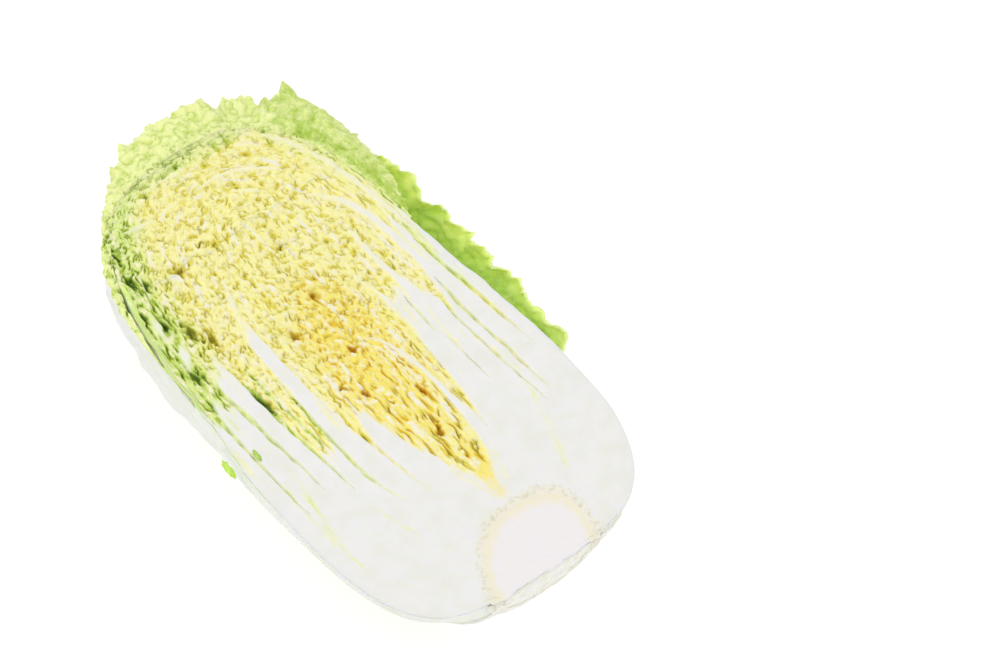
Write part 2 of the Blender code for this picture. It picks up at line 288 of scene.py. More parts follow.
class Wire:
    """A node's output that takes part in Python arithmetic."""

    def __init__(self, paint, socket):
        self.paint, self.socket = paint, socket

    def math(self, operation, *others):
        return self.paint.node("ShaderNodeMath", {"operation": operation}, dict(enumerate([self, *others])))

    def __add__(self, other):
        return self.math("ADD", other)

    def __mul__(self, other):
        return self.math("MULTIPLY", other)

    def __sub__(self, other):
        return self.math("SUBTRACT", other)

    def __rsub__(self, other):
        return (self * -1) + other

    __radd__, __rmul__ = __add__, __mul__

    def larger(self, other):
        return self.math("MAXIMUM", other)

    def step(self, low, high):
        """An S-shaped step from 0 at low to 1 at high."""
        settings = {"interpolation_type": "SMOOTHSTEP"}
        return self.paint.node("ShaderNodeMapRange", settings, {"Value": self, "From Min": low, "From Max": high})

    def frayed(self, noise, amount, low, high):
        """The same step with a border that wanders: a noise round a half is added before it."""
        return (self + noise * amount - amount / 2).step(low, high)


class Paint:
    """A new material with one Principled shader, whose constant sockets are given by name."""

    def __init__(self, name, code, **constants):
        self.material = bpy.data.materials.new(name)
        self.material.use_nodes = True
        self.material.diffuse_color = colour(code)
        self.tree = self.material.node_tree
        self.shader = self.tree.nodes["Principled BSDF"]
        for socket, value in constants.items():
            self.shader.inputs[socket.replace("_", " ")].default_value = value

    def node(self, kind, settings=None, values=None, output=0):
        """Adds a node of a kind: first its settings, then the values or links of its sockets."""
        node = self.tree.nodes.new(kind)
        for key, value in (settings or {}).items():
            setattr(node, key, value)
        for key, value in (values or {}).items():
            if isinstance(value, Wire):
                self.tree.links.new(value.socket, node.inputs[key])
            else:
                node.inputs[key].default_value = value
        return Wire(self, node.outputs[output])

    def values(self, *names):
        """The named values of the mesh's vertices."""
        return [self.node("ShaderNodeAttribute", {"attribute_name": name}, output="Fac") for name in names]

    def place(self):
        """Object coordinates in millimetres."""
        where = self.node("ShaderNodeTexCoord", output="Object")
        return self.node("ShaderNodeVectorMath", {"operation": "SCALE"}, {0: where, "Scale": 1000})

    def noise(self, where, scale, detail=3, stretch=(1, 1, 1)):
        """Noise with that many swellings per millimetre, around 0.5."""
        spot = self.node("ShaderNodeVectorMath", {"operation": "MULTIPLY"}, {0: where, 1: stretch})
        return self.node("ShaderNodeTexNoise", None, {"Vector": spot, "Scale": scale, "Detail": detail})

    def lines(self, where, scale, width, stretch):
        """Thin winding lines, 1 in their middle: where a noise passes through a half."""
        off = (self.noise(where, scale, 2, stretch) - 0.5).math("ABSOLUTE")
        return 1 - off.step(0, width)

    def mix(self, share, first, second):
        """The first colour where share is 0 and the second where it is 1. A colour is a wire or a web colour."""
        first, second = (c if isinstance(c, Wire) else colour(c) for c in (first, second))
        return self.node("ShaderNodeMix", {"data_type": "RGBA"}, {0: share, 6: first, 7: second}, output=2)

    def feed(self, socket, wire):
        self.tree.links.new(wire.socket, self.shader.inputs[socket])

    def relief(self, height, distance, strength):
        """Bump from a height between 0 and 1, that many metres high."""
        values = {"Height": height, "Distance": distance, "Strength": strength}
        self.feed("Normal", self.node("ShaderNodeBump", None, values))


WET = dict(Subsurface_Weight=0.35, Subsurface_Scale=0.002, Subsurface_Radius=(1, 0.9, 0.45), Metallic=0)
THIN = dict(WET, Subsurface_Weight=0.6, Subsurface_Scale=0.003)
print("light scatters", WET["Subsurface_Scale"] * 1000, "mm deep in cut leaf and", THIN["Subsurface_Scale"] * 1000,
      "mm in whole leaf")

# %% [markdown]
# ## The finish of the cut leaves
# Raw leaf is thin, wet and full of light: light goes in, scatters and comes out a few millimetres away. A plain
# diffuse colour looks like painted card. So each finish has some subsurface scattering, a soft gloss, a colour
# that follows the piece's own values and a fine relief of fibres or cells. On the cut face an edge is palest and a
# hollow stronger in colour, and painted shade darkens the colour the deeper it lies, so that the deepest spots and
# the pits are dark golden or olive. Each of the three goes from cream through gold to green with the leaf's age,
# and the white ribs, the stump and its tan border are laid over them.


# %% Cut leaves
def cut_leaf_finish():
    """Sliced leaves: white ribs, cream edges, yellow sides that turn golden or green in the hollows, and painted
    shade that darkens them the deeper they lie and in the pits.
    """
    paint = Paint("sliced_leaves", "f1e9a8", Roughness=0.42, **WET)
    where = paint.place()
    rib, green, gold, depth_and_shade, core = paint.values("rib", "green", "gold", "depth_and_shade", "core")
    rim, pit, vein, frill = paint.values("rim", "pit", "vein", "frill")
    blotch, fine = paint.noise(where, 0.12), paint.noise(where, 1.1)
    strands = paint.lines(where, 0.30, 0.045, (1, 0.75, 1))
    strands = strands.larger(paint.lines(where, 0.42, 0.05, (0.8, 1, 1)))
    spots = paint.noise(where, 0.34, 2).step(0.58, 0.70)
    golden = gold.step(0.1, 1)

    edge = paint.mix(golden, "faf3a4", "fae76a")
    edge = paint.mix(green.frayed(blotch, 0.6, 0.05, 0.95), edge, "dbed8c")
    edge = paint.mix((vein + strands * 0.45).step(0.1, 0.9), edge, "f8f0cc")
    hollow = paint.mix(golden, "f0e466", "f2d032")
    hollow = paint.mix(blotch.step(0.5, 0.75) * 0.6, hollow, "dfe060")
    hollow = paint.mix(green.frayed(blotch, 0.4, 0.05, 0.8), hollow, "b7cf4c")
    # Painted shade: dark golden and olive for the deepest parts of the cut face and its pits.
    deep = paint.mix(golden, "bdad2a", "d0940e")
    deep = paint.mix(green.step(0.05, 0.7), deep, "5f7f1e")

    # Cut edges are paler than the leaf faces below them, and the change further down is partly painted shade.
    leaf = paint.mix(depth_and_shade.frayed(fine, 0.3, 0.18, 0.55), edge, hollow)
    leaf = paint.mix(spots * (1 - strands) * 0.5, leaf, hollow)
    # Painted shade: the deepest parts take the dark deep colour.
    leaf = paint.mix(depth_and_shade.step(0.55, 1.05), leaf, deep)
    # Painted shade on the young tips: pale where they stand high, darker green in their hollows and creases.
    young = paint.mix((depth_and_shade + fine * 0.4 - 0.2 - strands * 0.15).step(0.05, 0.75), "f2f8ae", "b0ce44")
    leaf = paint.mix(frill.frayed(blotch, 0.3, 0.1, 0.9), leaf, young)
    white = paint.mix(blotch.step(0.35, 0.75), "ecebe9", "e8e8e0")
    whole = paint.mix(rib.frayed(fine, 0.5, 0.15, 0.85), leaf, white)
    # Painted shade: the pits take the dark deep colour.
    whole = paint.mix(pit, whole, deep)
    whole = paint.mix(core, whole, "eeeaea")
    whole = paint.mix(core * (1 - core) * 2.6, whole, "f1e8c6")
    tan = paint.mix(paint.noise(where, 0.5).step(0.40, 0.72), "efe9cf", "c9c08a")
    paint.feed("Base Color", paint.mix(rim * 0.6, whole, tan))
    paint.feed("Roughness", 0.36 + fine * 0.25)
    fibres = fine + paint.noise(where, 0.5, 3, (1, 0.12, 1)) * 0.6
    paint.relief(fibres * 0.5 + strands * (1 - rib), 0.00018, 0.6)
    return paint.material


SLICED = cut_leaf_finish()
print(SLICED.name, "has", len(SLICED.node_tree.nodes), "nodes")

# %% [markdown]
# ## The finish of the outer leaves
# A whole blade is a millimetre thick, so the pale ground shines through it, most where it is young and lime. To
# trace light through a sheet that thin takes long and stays noisy. A faint glow of the lime parts stands in for it,
# and fades out on the thick white rib.


# %% Outer leaves
def outer_leaf_finish():
    """Whole leaves: a white rib, a blade from pale yellow-green to green, pale veins, painted shade in the creases
    and a painted glow on the young blade.
    """
    paint = Paint("outer_leaves", "a8cf50", Roughness=0.4, Emission_Strength=0.28, **THIN)
    where = paint.place()
    rib, vein, lime_and_glow, crease = paint.values("rib", "vein", "lime_and_glow", "crease")
    blotch, fine = paint.noise(where, 0.06), paint.noise(where, 0.9)
    # Painted shade: the blade's greens darken in the creases between the blisters.
    green = paint.mix((blotch + crease * 0.5 - 0.1).step(0.2, 0.85), "cdec76", "a2d042")
    young = paint.mix((crease + fine * 0.3).step(0.3, 1.1), "eef8aa", "d0ec70")
    blade = paint.mix(vein * 0.8, paint.mix(lime_and_glow, green, young), "eef2c4")
    white = paint.mix(blotch.step(0.3, 0.8), "e7e8e3", "e2e5d7")
    paint.feed("Base Color", paint.mix(rib, blade, white))
    # Painted light: a glow on the young blade, none on the rib, stands in for light shining through the thin leaf.
    paint.feed("Emission Color", paint.mix(lime_and_glow * lime_and_glow * (1 - rib), "000000", "c4dc66"))
    paint.feed("Roughness", 0.34 + fine * 0.2)
    paint.relief(fine + paint.noise(where, 0.35, 3, (1, 0.15, 1)) * rib, 0.00015, 0.6)
    return paint.material


OUTER = outer_leaf_finish()
print(OUTER.name, "has", len(OUTER.node_tree.nodes), "nodes")

# %% [markdown]
# ## The finish of the butt
# The trimmed end has dried a little: ivory flesh, duller than the leaf, with broken tan rings where the bundles of
# the leaf stalks were cut through. The rings are a value of the mesh, so that they follow its round shape.


# %% Trimmed butt
def butt_finish():
    """The trimmed end: ivory flesh with olive and tan rings where the leaf stalks were cut through."""
    paint = Paint("trimmed_butt", "e9e4d2", Roughness=0.5, **WET)
    where = paint.place()
    (ring,) = paint.values("ring")
    blotch, fine = paint.noise(where, 0.18, 4), paint.noise(where, 1.3)
    flesh = paint.mix(blotch.step(0.35, 0.7), "eeece6", "e6e5d6")
    paint.feed("Base Color", paint.mix(ring * (fine.step(0.35, 0.65) * 0.6 + 0.4), flesh, "bcae7e"))
    paint.feed("Roughness", 0.4 + fine * 0.3)
    paint.relief(fine + blotch, 0.0002, 0.7)
    return paint.material


BUTT = butt_finish()
print(BUTT.name, "has", len(BUTT.node_tree.nodes), "nodes")

# %% [markdown]
# ## What the knife shows
# On the cut face the white midribs are sliced lengthwise, as long spindles that thin out towards the tips, with
# dark gaps between them and a few faint smears of green or yellow in the white base. Their places follow the
# leaves' spiral, but each head is its own, so the ribs, gaps and smears of this head are written down as curves:
# x, y and half width in millimetres. A smooth curve through the points and the distance from it give a mask for
# each. Pits are ovals, each with its place and two radii, and the front is where the white base ends.

# %% Ribs, gaps, smears, pits and the front
RIBS = [
    [(-72.6, 60, 3), (-73, 110, 2.8), (-72.3, 138, 1.6), (-71.5, 152, 0.3)],
    [(-57, 60, 7), (-62, 105, 6), (-63.5, 130, 5.5), (-63.5, 145, 3.5), (-63, 158, 0.8)],
    [(-47, 60, 4), (-48.5, 110, 3.6), (-50, 130, 3.2), (-50.8, 150, 2.8), (-50.3, 168, 2), (-49, 178, 0.6)],
    [(-37, 60, 4), (-38.5, 92, 2.2), (-38.3, 105, 0.9), (-38, 112, 0.3)],
    [(-22, 62, 5), (-26, 92, 3.9), (-28, 115, 3.4), (-29.2, 140, 2.7), (-29.4, 160, 2.2), (-28.8, 175, 1.8),
     (-27.2, 188, 1.4), (-24.5, 197, 1), (-21.5, 206, 0.3)],
    [(-9, 60, 5), (-12.5, 82, 3.6), (-15, 98, 2.4), (-16, 112, 1.1), (-16, 124, 0.2)],
    [(22, 62, 3.4), (21.8, 92, 1.6), (20.8, 108, 1.2), (19, 122, 1), (17, 132, 0.9), (14, 139, 0.7),
     (10.5, 144, 0.2)],
    [(38, 60, 9), (37.8, 100, 9), (37, 128, 8), (38.5, 142, 4.6), (40.3, 155, 1.9), (39, 168, 1.5),
     (38.4, 182, 1.2), (38.2, 197, 0.3)],
    [(30.5, 132, 1.5), (29.5, 150, 1.2), (27.5, 162, 0.9), (25, 172, 0.3)],
    [(52.4, 70, 1.4), (52.2, 110, 1.5), (51.6, 140, 1.2), (51.8, 152, 0.5)],
    [(60, 60, 3), (61, 105, 2.9), (59, 130, 2.6), (56.8, 148, 2.7), (54.8, 163, 2.8), (52.6, 177, 2.6),
     (50.4, 190, 2.2), (47.6, 201, 1.9), (43.5, 209, 1.4), (38.8, 215, 0.8), (35.5, 219, 0.2)],
    [(71, 60, 4), (70.8, 95, 2.6), (68.6, 125, 1.7), (66, 145, 1.4), (64.3, 160, 1.4), (63, 175, 1.3),
     (62, 190, 1), (59.6, 205, 0.4)],
    [(-4, 250, 0.2), (6, 250.4, 0.9), (14, 249.2, 0.9), (22, 245.6, 1), (29, 240.6, 0.9), (35, 235, 0.2)],
    [(10, 240, 0.2), (15, 236.6, 0.7), (20.5, 232, 0.2)],
    [(30, 264, 0.3), (38, 255, 0.9), (43, 247, 0.3)],
    [(61.5, 168, 0.2), (60.4, 182, 1), (58, 200, 1.3), (54, 220, 1.3), (49.6, 235, 1.2), (45, 245, 1.1),
     (38.8, 254, 0.8), (32, 260.5, 0.3)],
    [(-58, 213, 0.4), (-59, 205, 2), (-60.5, 196, 0.4)],
    [(-57, 190, 0.3), (-59, 184, 2.2), (-61.5, 177, 0.4)],
    [(-42, 252, 0.3), (-35, 250, 1.2), (-28, 250, 0.3)],
    [(-40, 222, 0.3), (-37.5, 219, 1.8), (-36, 215, 0.4)],
]
GAPS = [
    [(-57.5, 166, 0.3), (-56.6, 150, 0.9), (-55.8, 142, 1.1), (-54.6, 125, 0.8), (-53, 110, 0.6),
     (-52, 92, 0.15)],
    [(-67, 150, 1), (-66.5, 120, 0.7), (-65.5, 96, 0.4), (-65, 86, 0.1)],
    [(-47, 158, 0.2), (-46, 149, 1.6), (-45.6, 138, 1.2), (-45.2, 125, 0.9), (-43.6, 112, 0.7),
     (-42.2, 96, 0.6), (-41.2, 84, 0.1)],
    [(-42, 164, 0.3), (-41.5, 150, 1), (-40.2, 135, 0.8), (-39.2, 120, 0.5), (-38, 110, 0.1)],
    [(-34.2, 150, 0.3), (-34.2, 130, 0.7), (-34, 112, 0.7), (-33.4, 97, 0.9), (-32.4, 86, 0.9),
     (-30.8, 78, 0.5), (-28.4, 70, 0.5), (-26, 64, 0.1)],
    [(-23, 112, 0.4), (-20.6, 98, 0.9), (-19.4, 88, 0.6), (-18, 78, 0.8), (-17, 72, 0.4), (-14, 60, 0.1)],
    [(26.2, 112, 0.4), (25.6, 98, 0.7), (25, 84, 0.3), (24.5, 74, 0.1)],
    [(49.2, 142, 0.4), (48.6, 130, 0.6), (49.2, 118, 0.5), (50.4, 104, 0.6), (52, 90, 0.4), (53.4, 76, 0.3),
     (54, 64, 0.1)],
    [(53.6, 150, 0.2), (53.5, 138, 0.7), (54, 127, 0.9), (55, 115, 0.6), (56.6, 103, 0.8), (57.2, 93, 0.6),
     (58.2, 80, 0.4), (58.6, 72, 0.1)],
    [(58.5, 172, 0.2), (60.4, 155, 0.7), (62.4, 140, 0.9), (64.2, 125, 0.8), (66, 110, 0.5), (67.6, 98, 0.1)],
    [(36.6, 150, 0.1), (36.6, 140, 0.5), (36.4, 128, 0.1)],
    [(39, 122, 0.1), (39.8, 110, 0.3), (41, 94, 0.1)],
]
SMEARS = [
    [(53.5, 92, 0.3), (51, 77, 0.9), (47.5, 62, 1.2), (43.5, 48, 1.5), (40.6, 38, 1.2)],
    [(-57.5, 112, 0.4), (-60.5, 90, 1), (-64, 64, 1.3), (-62.5, 50, 0.8)],
    [(-66.5, 96, 0.4), (-66, 78, 0.8), (-64.5, 56, 0.8)],
    [(-40, 70, 0.3), (-37, 58, 0.7), (-33, 48, 0.5)],
    [(20, 66, 0.4), (17, 54, 0.9), (13.5, 44, 0.8)],
    [(-2, 66, 0.4), (2, 54, 0.9), (5.5, 43, 0.8)],
]
PITS = [
    (-57, 203, 1.6, 4), (-49.2, 193, 1.1, 4.5), (-43.4, 184, 0.9, 6), (-61.6, 174, 1.2, 4), (-62, 211, 1.3, 3),
    (-55, 229, 1, 4), (-52, 245, 1, 4), (-50.5, 225, 1, 3), (-35, 221, 2.2, 2.4), (-18, 227.4, 1, 0.8),
    (9.5, 204, 2, 0.8), (-46, 144, 1.4, 6), (2.5, 142, 2.2, 1.2), (-14, 163, 2, 1.8), (7, 86, 1.2, 3),
    (14, 107, 1, 3.2), (-7.5, 121, 1, 2.4), (5, 175, 1.4, 2.4), (-14, 128, 1, 1.2),
]
FRONT = [
    (-78, 240), (-74, 205), (-70.5, 155), (-69, 149), (-58, 149), (-57, 163), (-52, 170), (-48, 165),
    (-46.8, 140), (-44, 116), (-40, 102), (-36, 106), (-34, 110), (-33, 175), (-27, 185), (-26, 118),
    (-23, 106), (-20, 100), (-18, 112), (-14, 112), (-11, 99), (-6, 83), (-2.5, 75), (0, 67), (4, 60),
    (8.6, 55), (13, 60), (17.5, 66), (19.6, 84), (20.6, 118), (22, 104), (23.5, 86), (26, 86), (28, 104),
    (29, 150), (34, 152), (38, 160), (42, 160), (44, 150), (47, 142), (49, 134), (51, 142), (53, 172),
    (57, 190), (58.5, 172), (60, 166), (62, 158), (64, 186), (70, 190), (78, 200),
]


def curve(points, steps=8):
    """A smooth curve through the points: a cubic for each span, with slopes from the neighbours."""
    p = np.array(points, float)
    q = np.vstack([2 * p[0] - p[1], p, 2 * p[-1] - p[-2]])
    s = np.linspace(0, 1, steps, endpoint=False)[:, None]
    spans = [
        0.5 * (2 * b + (c - a) * s + (2 * a - 5 * b + 4 * c - d) * s**2 + (3 * b - a - 3 * c + d) * s**3)
        for a, b, c, d in zip(q[:-3], q[1:-2], q[2:-1], q[3:])
    ]
    return np.vstack([*spans, p[-1:]])


def stroke(points, x, y, soft):
    """1 inside a band along a curve and 0 outside: the distance to the curve's pieces less the half width."""
    line = curve(points)
    reach = line[:, 2].max() + soft + 0.1
    near = (x > line[:, 0].min() - reach) & (x < line[:, 0].max() + reach)
    near &= (y > line[:, 1].min() - reach) & (y < line[:, 1].max() + reach)
    px, py = x[near], y[near]
    best = np.full(px.shape, 1e9)
    for a, b in zip(line[:-1], line[1:]):
        step = b - a
        t = np.clip(((px - a[0]) * step[0] + (py - a[1]) * step[1]) / (step[0] ** 2 + step[1] ** 2), 0, 1)
        best = np.minimum(best, np.hypot(px - a[0] - t * step[0], py - a[1] - t * step[1]) - a[2] - step[2] * t)
    out = np.zeros(x.shape)
    out[near] = 1 - smooth(-soft, soft, best)
    return out


print("curves", len(RIBS), "ribs", len(GAPS), "gaps", len(SMEARS), "smears", len(PITS), "pits")

# %% [markdown]
# ## The growth that all leaves share
# Packed leaves press on each other, so a swelling in one is a swelling in the next. That is why the same wave
# moves every leaf at a given travel and turn: neighbours stay parallel and never cut through each other. It also
# shapes the outline of the cut face, so that the sliced middle and the leaves round it share one edge.


# %% Shared wave
def shared_wave(travel, turn):
    """Swellings of about 15 and 6 mm, in millimetres, that fade out towards the butt."""
    radius, along = barrel(1, travel)
    arc = radius * np.radians(turn)
    return ripples(arc, along, (3, 1.1, 15, 19), (4, 0.5, 6.5, 8)) * smooth(60, 150, along)


def cut_edge(turn):
    """x and y of the outside's edge in the cut plane, from the butt's end to the tip."""
    travel = np.linspace(0.118, 0.9995, 3000)
    fade = 1 - smooth(0.90, 0.99, travel)
    points = place(1, travel, turn, shared_wave(travel, turn) * fade)
    return np.abs(points[:, 0]), np.maximum.accumulate(points[:, 1])


left_edge, right_edge = cut_edge(180), cut_edge(360)
tell("half width left and right, mm", left_edge[0].max(), right_edge[0].max())

# %% [markdown]
# ## The grid of the cut face
# The sliced middle needs a fine, even grid whose border runs exactly along the outline. A square grid would leave
# a stepped border. So each row runs from the left edge to the right edge, and a row's points share its width:
# the grid bends with the outline. Rows lie closer in the crumpled part than in the smooth white base, and
# crowd together at the rounded tip.

# %% Grid of the cut face
COLUMNS, OVERLAP = 345, 0.12
CRUMPLE_Y, SEAM_Y, ROUND_Y, ROUND_LENGTH = 56, 222, 264, 7.6
rows_y = np.concatenate([
    np.arange(FRONT_EDGE, CRUMPLE_Y, 1.6), np.arange(CRUMPLE_Y, SEAM_Y, 0.68), np.arange(SEAM_Y, ROUND_Y, 0.43),
    ROUND_Y + ROUND_LENGTH * np.sin(np.linspace(0, np.pi / 2, 30))[1:],
])


def edge_at(y, edge):
    """Half width at y: the outline's, but never less than the stem's below the first leaf bases."""
    width = np.maximum(np.interp(y, edge[1], edge[0]), 0.4)
    stem = STEM_RADIUS * (0.97 + 0.03 * smooth(FRONT_EDGE, 1.2, y))
    return np.where(y < 1.2, stem, width) + OVERLAP


x_left, x_right = -edge_at(rows_y, left_edge)[:, None], edge_at(rows_y, right_edge)[:, None]
X = x_left + (x_right - x_left) * np.linspace(0, 1, COLUMNS)[None, :]
FROM_LEFT, FROM_RIGHT = X - x_left, x_right - X
bend = 6 * ripple(2, X, 3, 11) * smooth(0, 12, FROM_LEFT) * smooth(0, 12, FROM_RIGHT)
Y = rows_y[:, None] + bend * smooth(150, 200, rows_y)[:, None] * smooth(264, 235, rows_y)[:, None]
ragged = 0.9 * ripple(21, X, 1, 9) + 0.4 * ripple(22, X, 2, 3)
Y = Y + ragged * smooth(14, FRONT_EDGE, rows_y)[:, None]
tell("cut face grid, rows, columns and width in mm", *X.shape, (x_right - x_left).max())


# %% Slopes and levels on the grid
def slopes(values, x, y):
    """Slopes along x and y of values on a bent grid: the grid's own slopes, turned by its Jacobian."""
    by_row, by_column = np.gradient(values)
    x_row, x_column = np.gradient(x)
    y_row, y_column = np.gradient(y)
    area = x_column * y_row - x_row * y_column
    area = np.where(np.abs(area) < 1e-4, 1e-4, area)
    return (by_column * y_row - by_row * y_column) / area, (by_row * x_column - by_column * x_row) / area


def level_of(x, y):
    """The level of the nested barrel through a point of the cut plane, by halving the interval 26 times."""
    width = np.abs(x) / np.where(x > 0, squeeze(y, 360), 1)
    low, high = np.full(x.shape, 0.02), np.full(x.shape, 1.4)
    for _ in range(26):
        level = (low + high) / 2
        first, last = STEM_RISE * (1 - level), LENGTH - TIP_DROP * (1 - level)
        side = (y - (first + last) / 2) / ((last - first) / 2)
        power = np.where(side < 0, 4, 3)
        outside = (width / (HALF_WIDTH * level * taper(y))) ** power + np.abs(side) ** power > 1
        low, high = np.where(outside, level, low), np.where(outside, high, level)
    return (low + high) / 2


LEVEL = level_of(X, Y)
tell("levels from and to", LEVEL.min(), LEVEL.max())

# %% [markdown]
# ## Crumpled leaves, sliced
# In the upper part the blades are crumpled like paper pressed into a ball, and the knife turns each into a curly
# line. To model each blade and cut it would take a cloth simulation of dozens of sheets. Instead the level of the
# nested barrels is warped by noise of several sizes, strong enough to fold back on itself. Its contour lines at
# equal steps are then curls that never cross, just as packed blades can't. Along a contour two blades touch in a
# crease or stand apart round a hollow, and beside it a pale ridge is a sliced edge. Two such families, and broader
# dents, give edges behind edges. Long pale arcs along the unwarped levels are the veins of whole blades.


# %% Curls
def drawn_noise(seed, size, drawn, x, y):
    """Noise of one size that is round where drawn is 0 and three times as long as wide where drawn is 1."""
    return (1 - drawn) * ripple(seed, x, y, size, size) + drawn * ripple(seed + 300, x, y, 0.8 * size, 3 * size)


def curls(seed, step, fold, drawn, x, y, level):
    """Distance in millimetres to the nearest contour of the warped level."""
    warp = HALF_WIDTH * level + 3 * ripple(seed, x, y, 17, 24)
    warp = warp + fold * 2.6 * drawn_noise(seed + 1, 5.2, drawn, x, y)
    warp = warp + fold * 1.4 * drawn_noise(seed + 2, 2.6, drawn, x, y)
    steep = np.maximum(np.hypot(*slopes(warp, x, y)), 0.6)
    contour = warp / step
    return np.abs(contour - np.round(contour)) * step / steep


def veins_along(x, y, level):
    """Long broken arcs, 8 mm apart: the contours of the level, warped a little."""
    arcs = (HALF_WIDTH * level + ripples(x, y, (70, 2.2, 17, 26), (71, 0.6, 5, 7))) / 8
    away = np.abs(arcs - np.round(arcs)) * 8
    return bump(away, 0, 1) * smooth(-0.05, 0.35, ripple(72, x, y, 9, 14))


def crumpled(x, y, level):
    """Heights of the crumpled part, where its edges and veins are pale, and where a vein is a broad white band.
    Blades touch along most of a contour, as a crease, and stand apart along the rest, as a hollow."""
    drawn = np.maximum(smooth(170, 85, y), smooth(0.66, 0.86, level) * smooth(255, 205, y) * 0.8)
    near_tip = smooth(222, 250, y)
    loose = smooth(-34, -58, x) * smooth(120, 150, y)
    golden = smooth(150, 105, y) * smooth(34, 22, np.abs(x - 4))
    fold = 1.25 + 0.5 * ripple(60, x, y, 22, 22) - 0.35 * drawn + 0.5 * near_tip
    first, second = curls(10, 2.9, fold, drawn, x, y, level), curls(20, 3.3, fold, drawn, x, y, level)

    apart = smooth(-0.15, 0.45, drawn_noise(41, 3.6, drawn, x, y))
    apart_second = smooth(-0.05, 0.50, drawn_noise(42, 3, drawn, x, y))
    hollow = np.maximum(bump(first, 0, 0.42) * apart, bump(second, 0, 0.36) * apart_second)
    touch = smooth(-0.5, 0.4, ripple(43, x, y, 3, 3.2))
    crease = np.maximum(bump(first, 0, 0.7) * touch, 0.8 * bump(second, 0, 0.6) * (1.2 - touch))
    swell = 0.42 * drawn_noise(44, 1.9, drawn, x, y) + 0.7 * drawn_noise(45, 4.6, drawn, x, y)
    dent = smooth(0.42, 0.75, drawn_noise(46, 5, drawn, x, y))
    hollow_depth = 1.4 + 0.7 * ripple(47, x, y, 6, 7) + 0.9 * loose + 0.8 * golden - 0.4 * near_tip
    height = 0.75 * swell - 0.4 - 0.3 * crease - (1.2 + 0.7 * loose) * dent
    height = height - hollow_depth * hollow - 0.35 * loose

    vein = veins_along(x, y, level)
    edge = bump(first, 1.25, 0.38) * smooth(-0.35, 0.25, ripple(73, x, y, 4, 5))
    height = height + 0.22 * edge * (1 - hollow) - 0.4 * vein * np.minimum(height, 0)
    pale = np.clip(np.maximum(vein, edge) * (1 - hollow), 0, 1)
    return np.clip(height, -4.4, -0.03), pale, vein * (1 - 0.8 * hollow)


CURLY, PALE, BAND = crumpled(X, Y, LEVEL)
tell("crumple from and to, mm", CURLY.min(), CURLY.max())

# %% [markdown]
# ## Masks of the cut face
# What the knife shows is put together from masks, each between 0 and 1: the solid white parts, the pale skins
# beside the long ribs, the gaps with their halo, the smears, the pits and the cut stump. The same masks shape the
# heights and choose the colours, so that a gap is always both a groove and a darker line: beside it the white gives
# way to green leaf, and in it painted shade darkens the colour the deeper it goes.


# %% White parts
def strokes(lines, x, soft):
    """The strongest of the bands along several curves."""
    return np.max([stroke(line, x, Y, soft) for line in lines], axis=0)


bent = X + 0.6 * ripple(7, X, Y, 4, 7) + 0.5 * ripple(78, X, Y, 1.6, 5)


def white_parts():
    """How solid and how white each point is: the base with its ragged front, and the ribs that run on from it.
    Further up the white is thinner and broken by streaks."""
    front = np.interp(X, *np.transpose(FRONT)) + 3 * ripple(5, X, Y, 2.2, 30)
    past = Y - front + 5 * ripple(6, X, Y, 1.8, 9)
    solid = np.maximum(1 - smooth(-6, 9, past), strokes(RIBS, bent, 1.2))
    white = np.maximum(1 - smooth(-8, 8, past), strokes(RIBS, bent, 2.4))
    streaks = ripples(X, Y, (79, 1, 2.8, 22), (80, 0.7, 5, 40))
    white = white * (1 - 0.3 * smooth(100, 230, Y))
    return solid, white * (1 - 0.5 * smooth(0.1, 0.9, streaks) * smooth(78, 118, Y))


def skins_beside(ribs):
    """Thin broken lines about 4 mm to both sides of the ribs: the skins of the leaves that lie on them."""
    lines = []
    for number, rib in enumerate(ribs):
        for shift in (-4.6, 4.2):
            near = [(x + shift * (1 + 0.1 * (number % 3)), y, min(w, 0.5)) for x, y, w in rib if y > 70]
            lines += [near] if len(near) > 2 else []
    return strokes(lines, bent, 0.6) * smooth(-0.3, 0.3, ripple(82, X, Y, 4, 14))


LONG_RIBS = RIBS[:13]
solid, white = white_parts()
beside = skins_beside(LONG_RIBS)
tell("share of the grid that is white", white.mean())


# %% Dark parts and the stump
def dark_parts():
    """The gaps, their softer halo, the smears in the white base and the pits."""
    wobble = 0.45 * ripple(77, X, Y, 3, 9)
    smear = strokes(SMEARS, X + 2 * wobble, 2.6) * (0.75 + 0.5 * ripple(81, X, Y, 2, 12))
    warped_x, warped_y = X + 1.6 * ripple(83, X, Y, 2.6, 3.6), Y + 2.4 * ripple(84, X, Y, 2.6, 3.6)
    pit = np.max([bump(warped_x, x, wide) * bump(warped_y, y, long) for x, y, wide, long in PITS], axis=0)
    return strokes(GAPS, X + wobble, 0.35), strokes(GAPS, X + wobble, 1.3), smear, pit


def cut_stump():
    """The stump's cut face and the line round it: a leaning superellipse with an uneven border."""
    size = (np.abs(X - 0.5 - 0.26 * Y) / 28.8) ** 2.6 + (np.maximum(Y, 0) / 36) ** 2.6
    size = size + 0.10 * ripple(8, X, Y, 5, 5)
    return 1 - smooth(0.50, 1.06, size), bump(size + 0.12 * ripple(9, X, Y, 2, 2), 1.05, 0.12)


gap, halo, smear, pit = dark_parts()
core, rim = cut_stump()
tell("share of the grid in gaps, and where the stump ends in mm", gap.mean(), Y[core > 0.5].max())


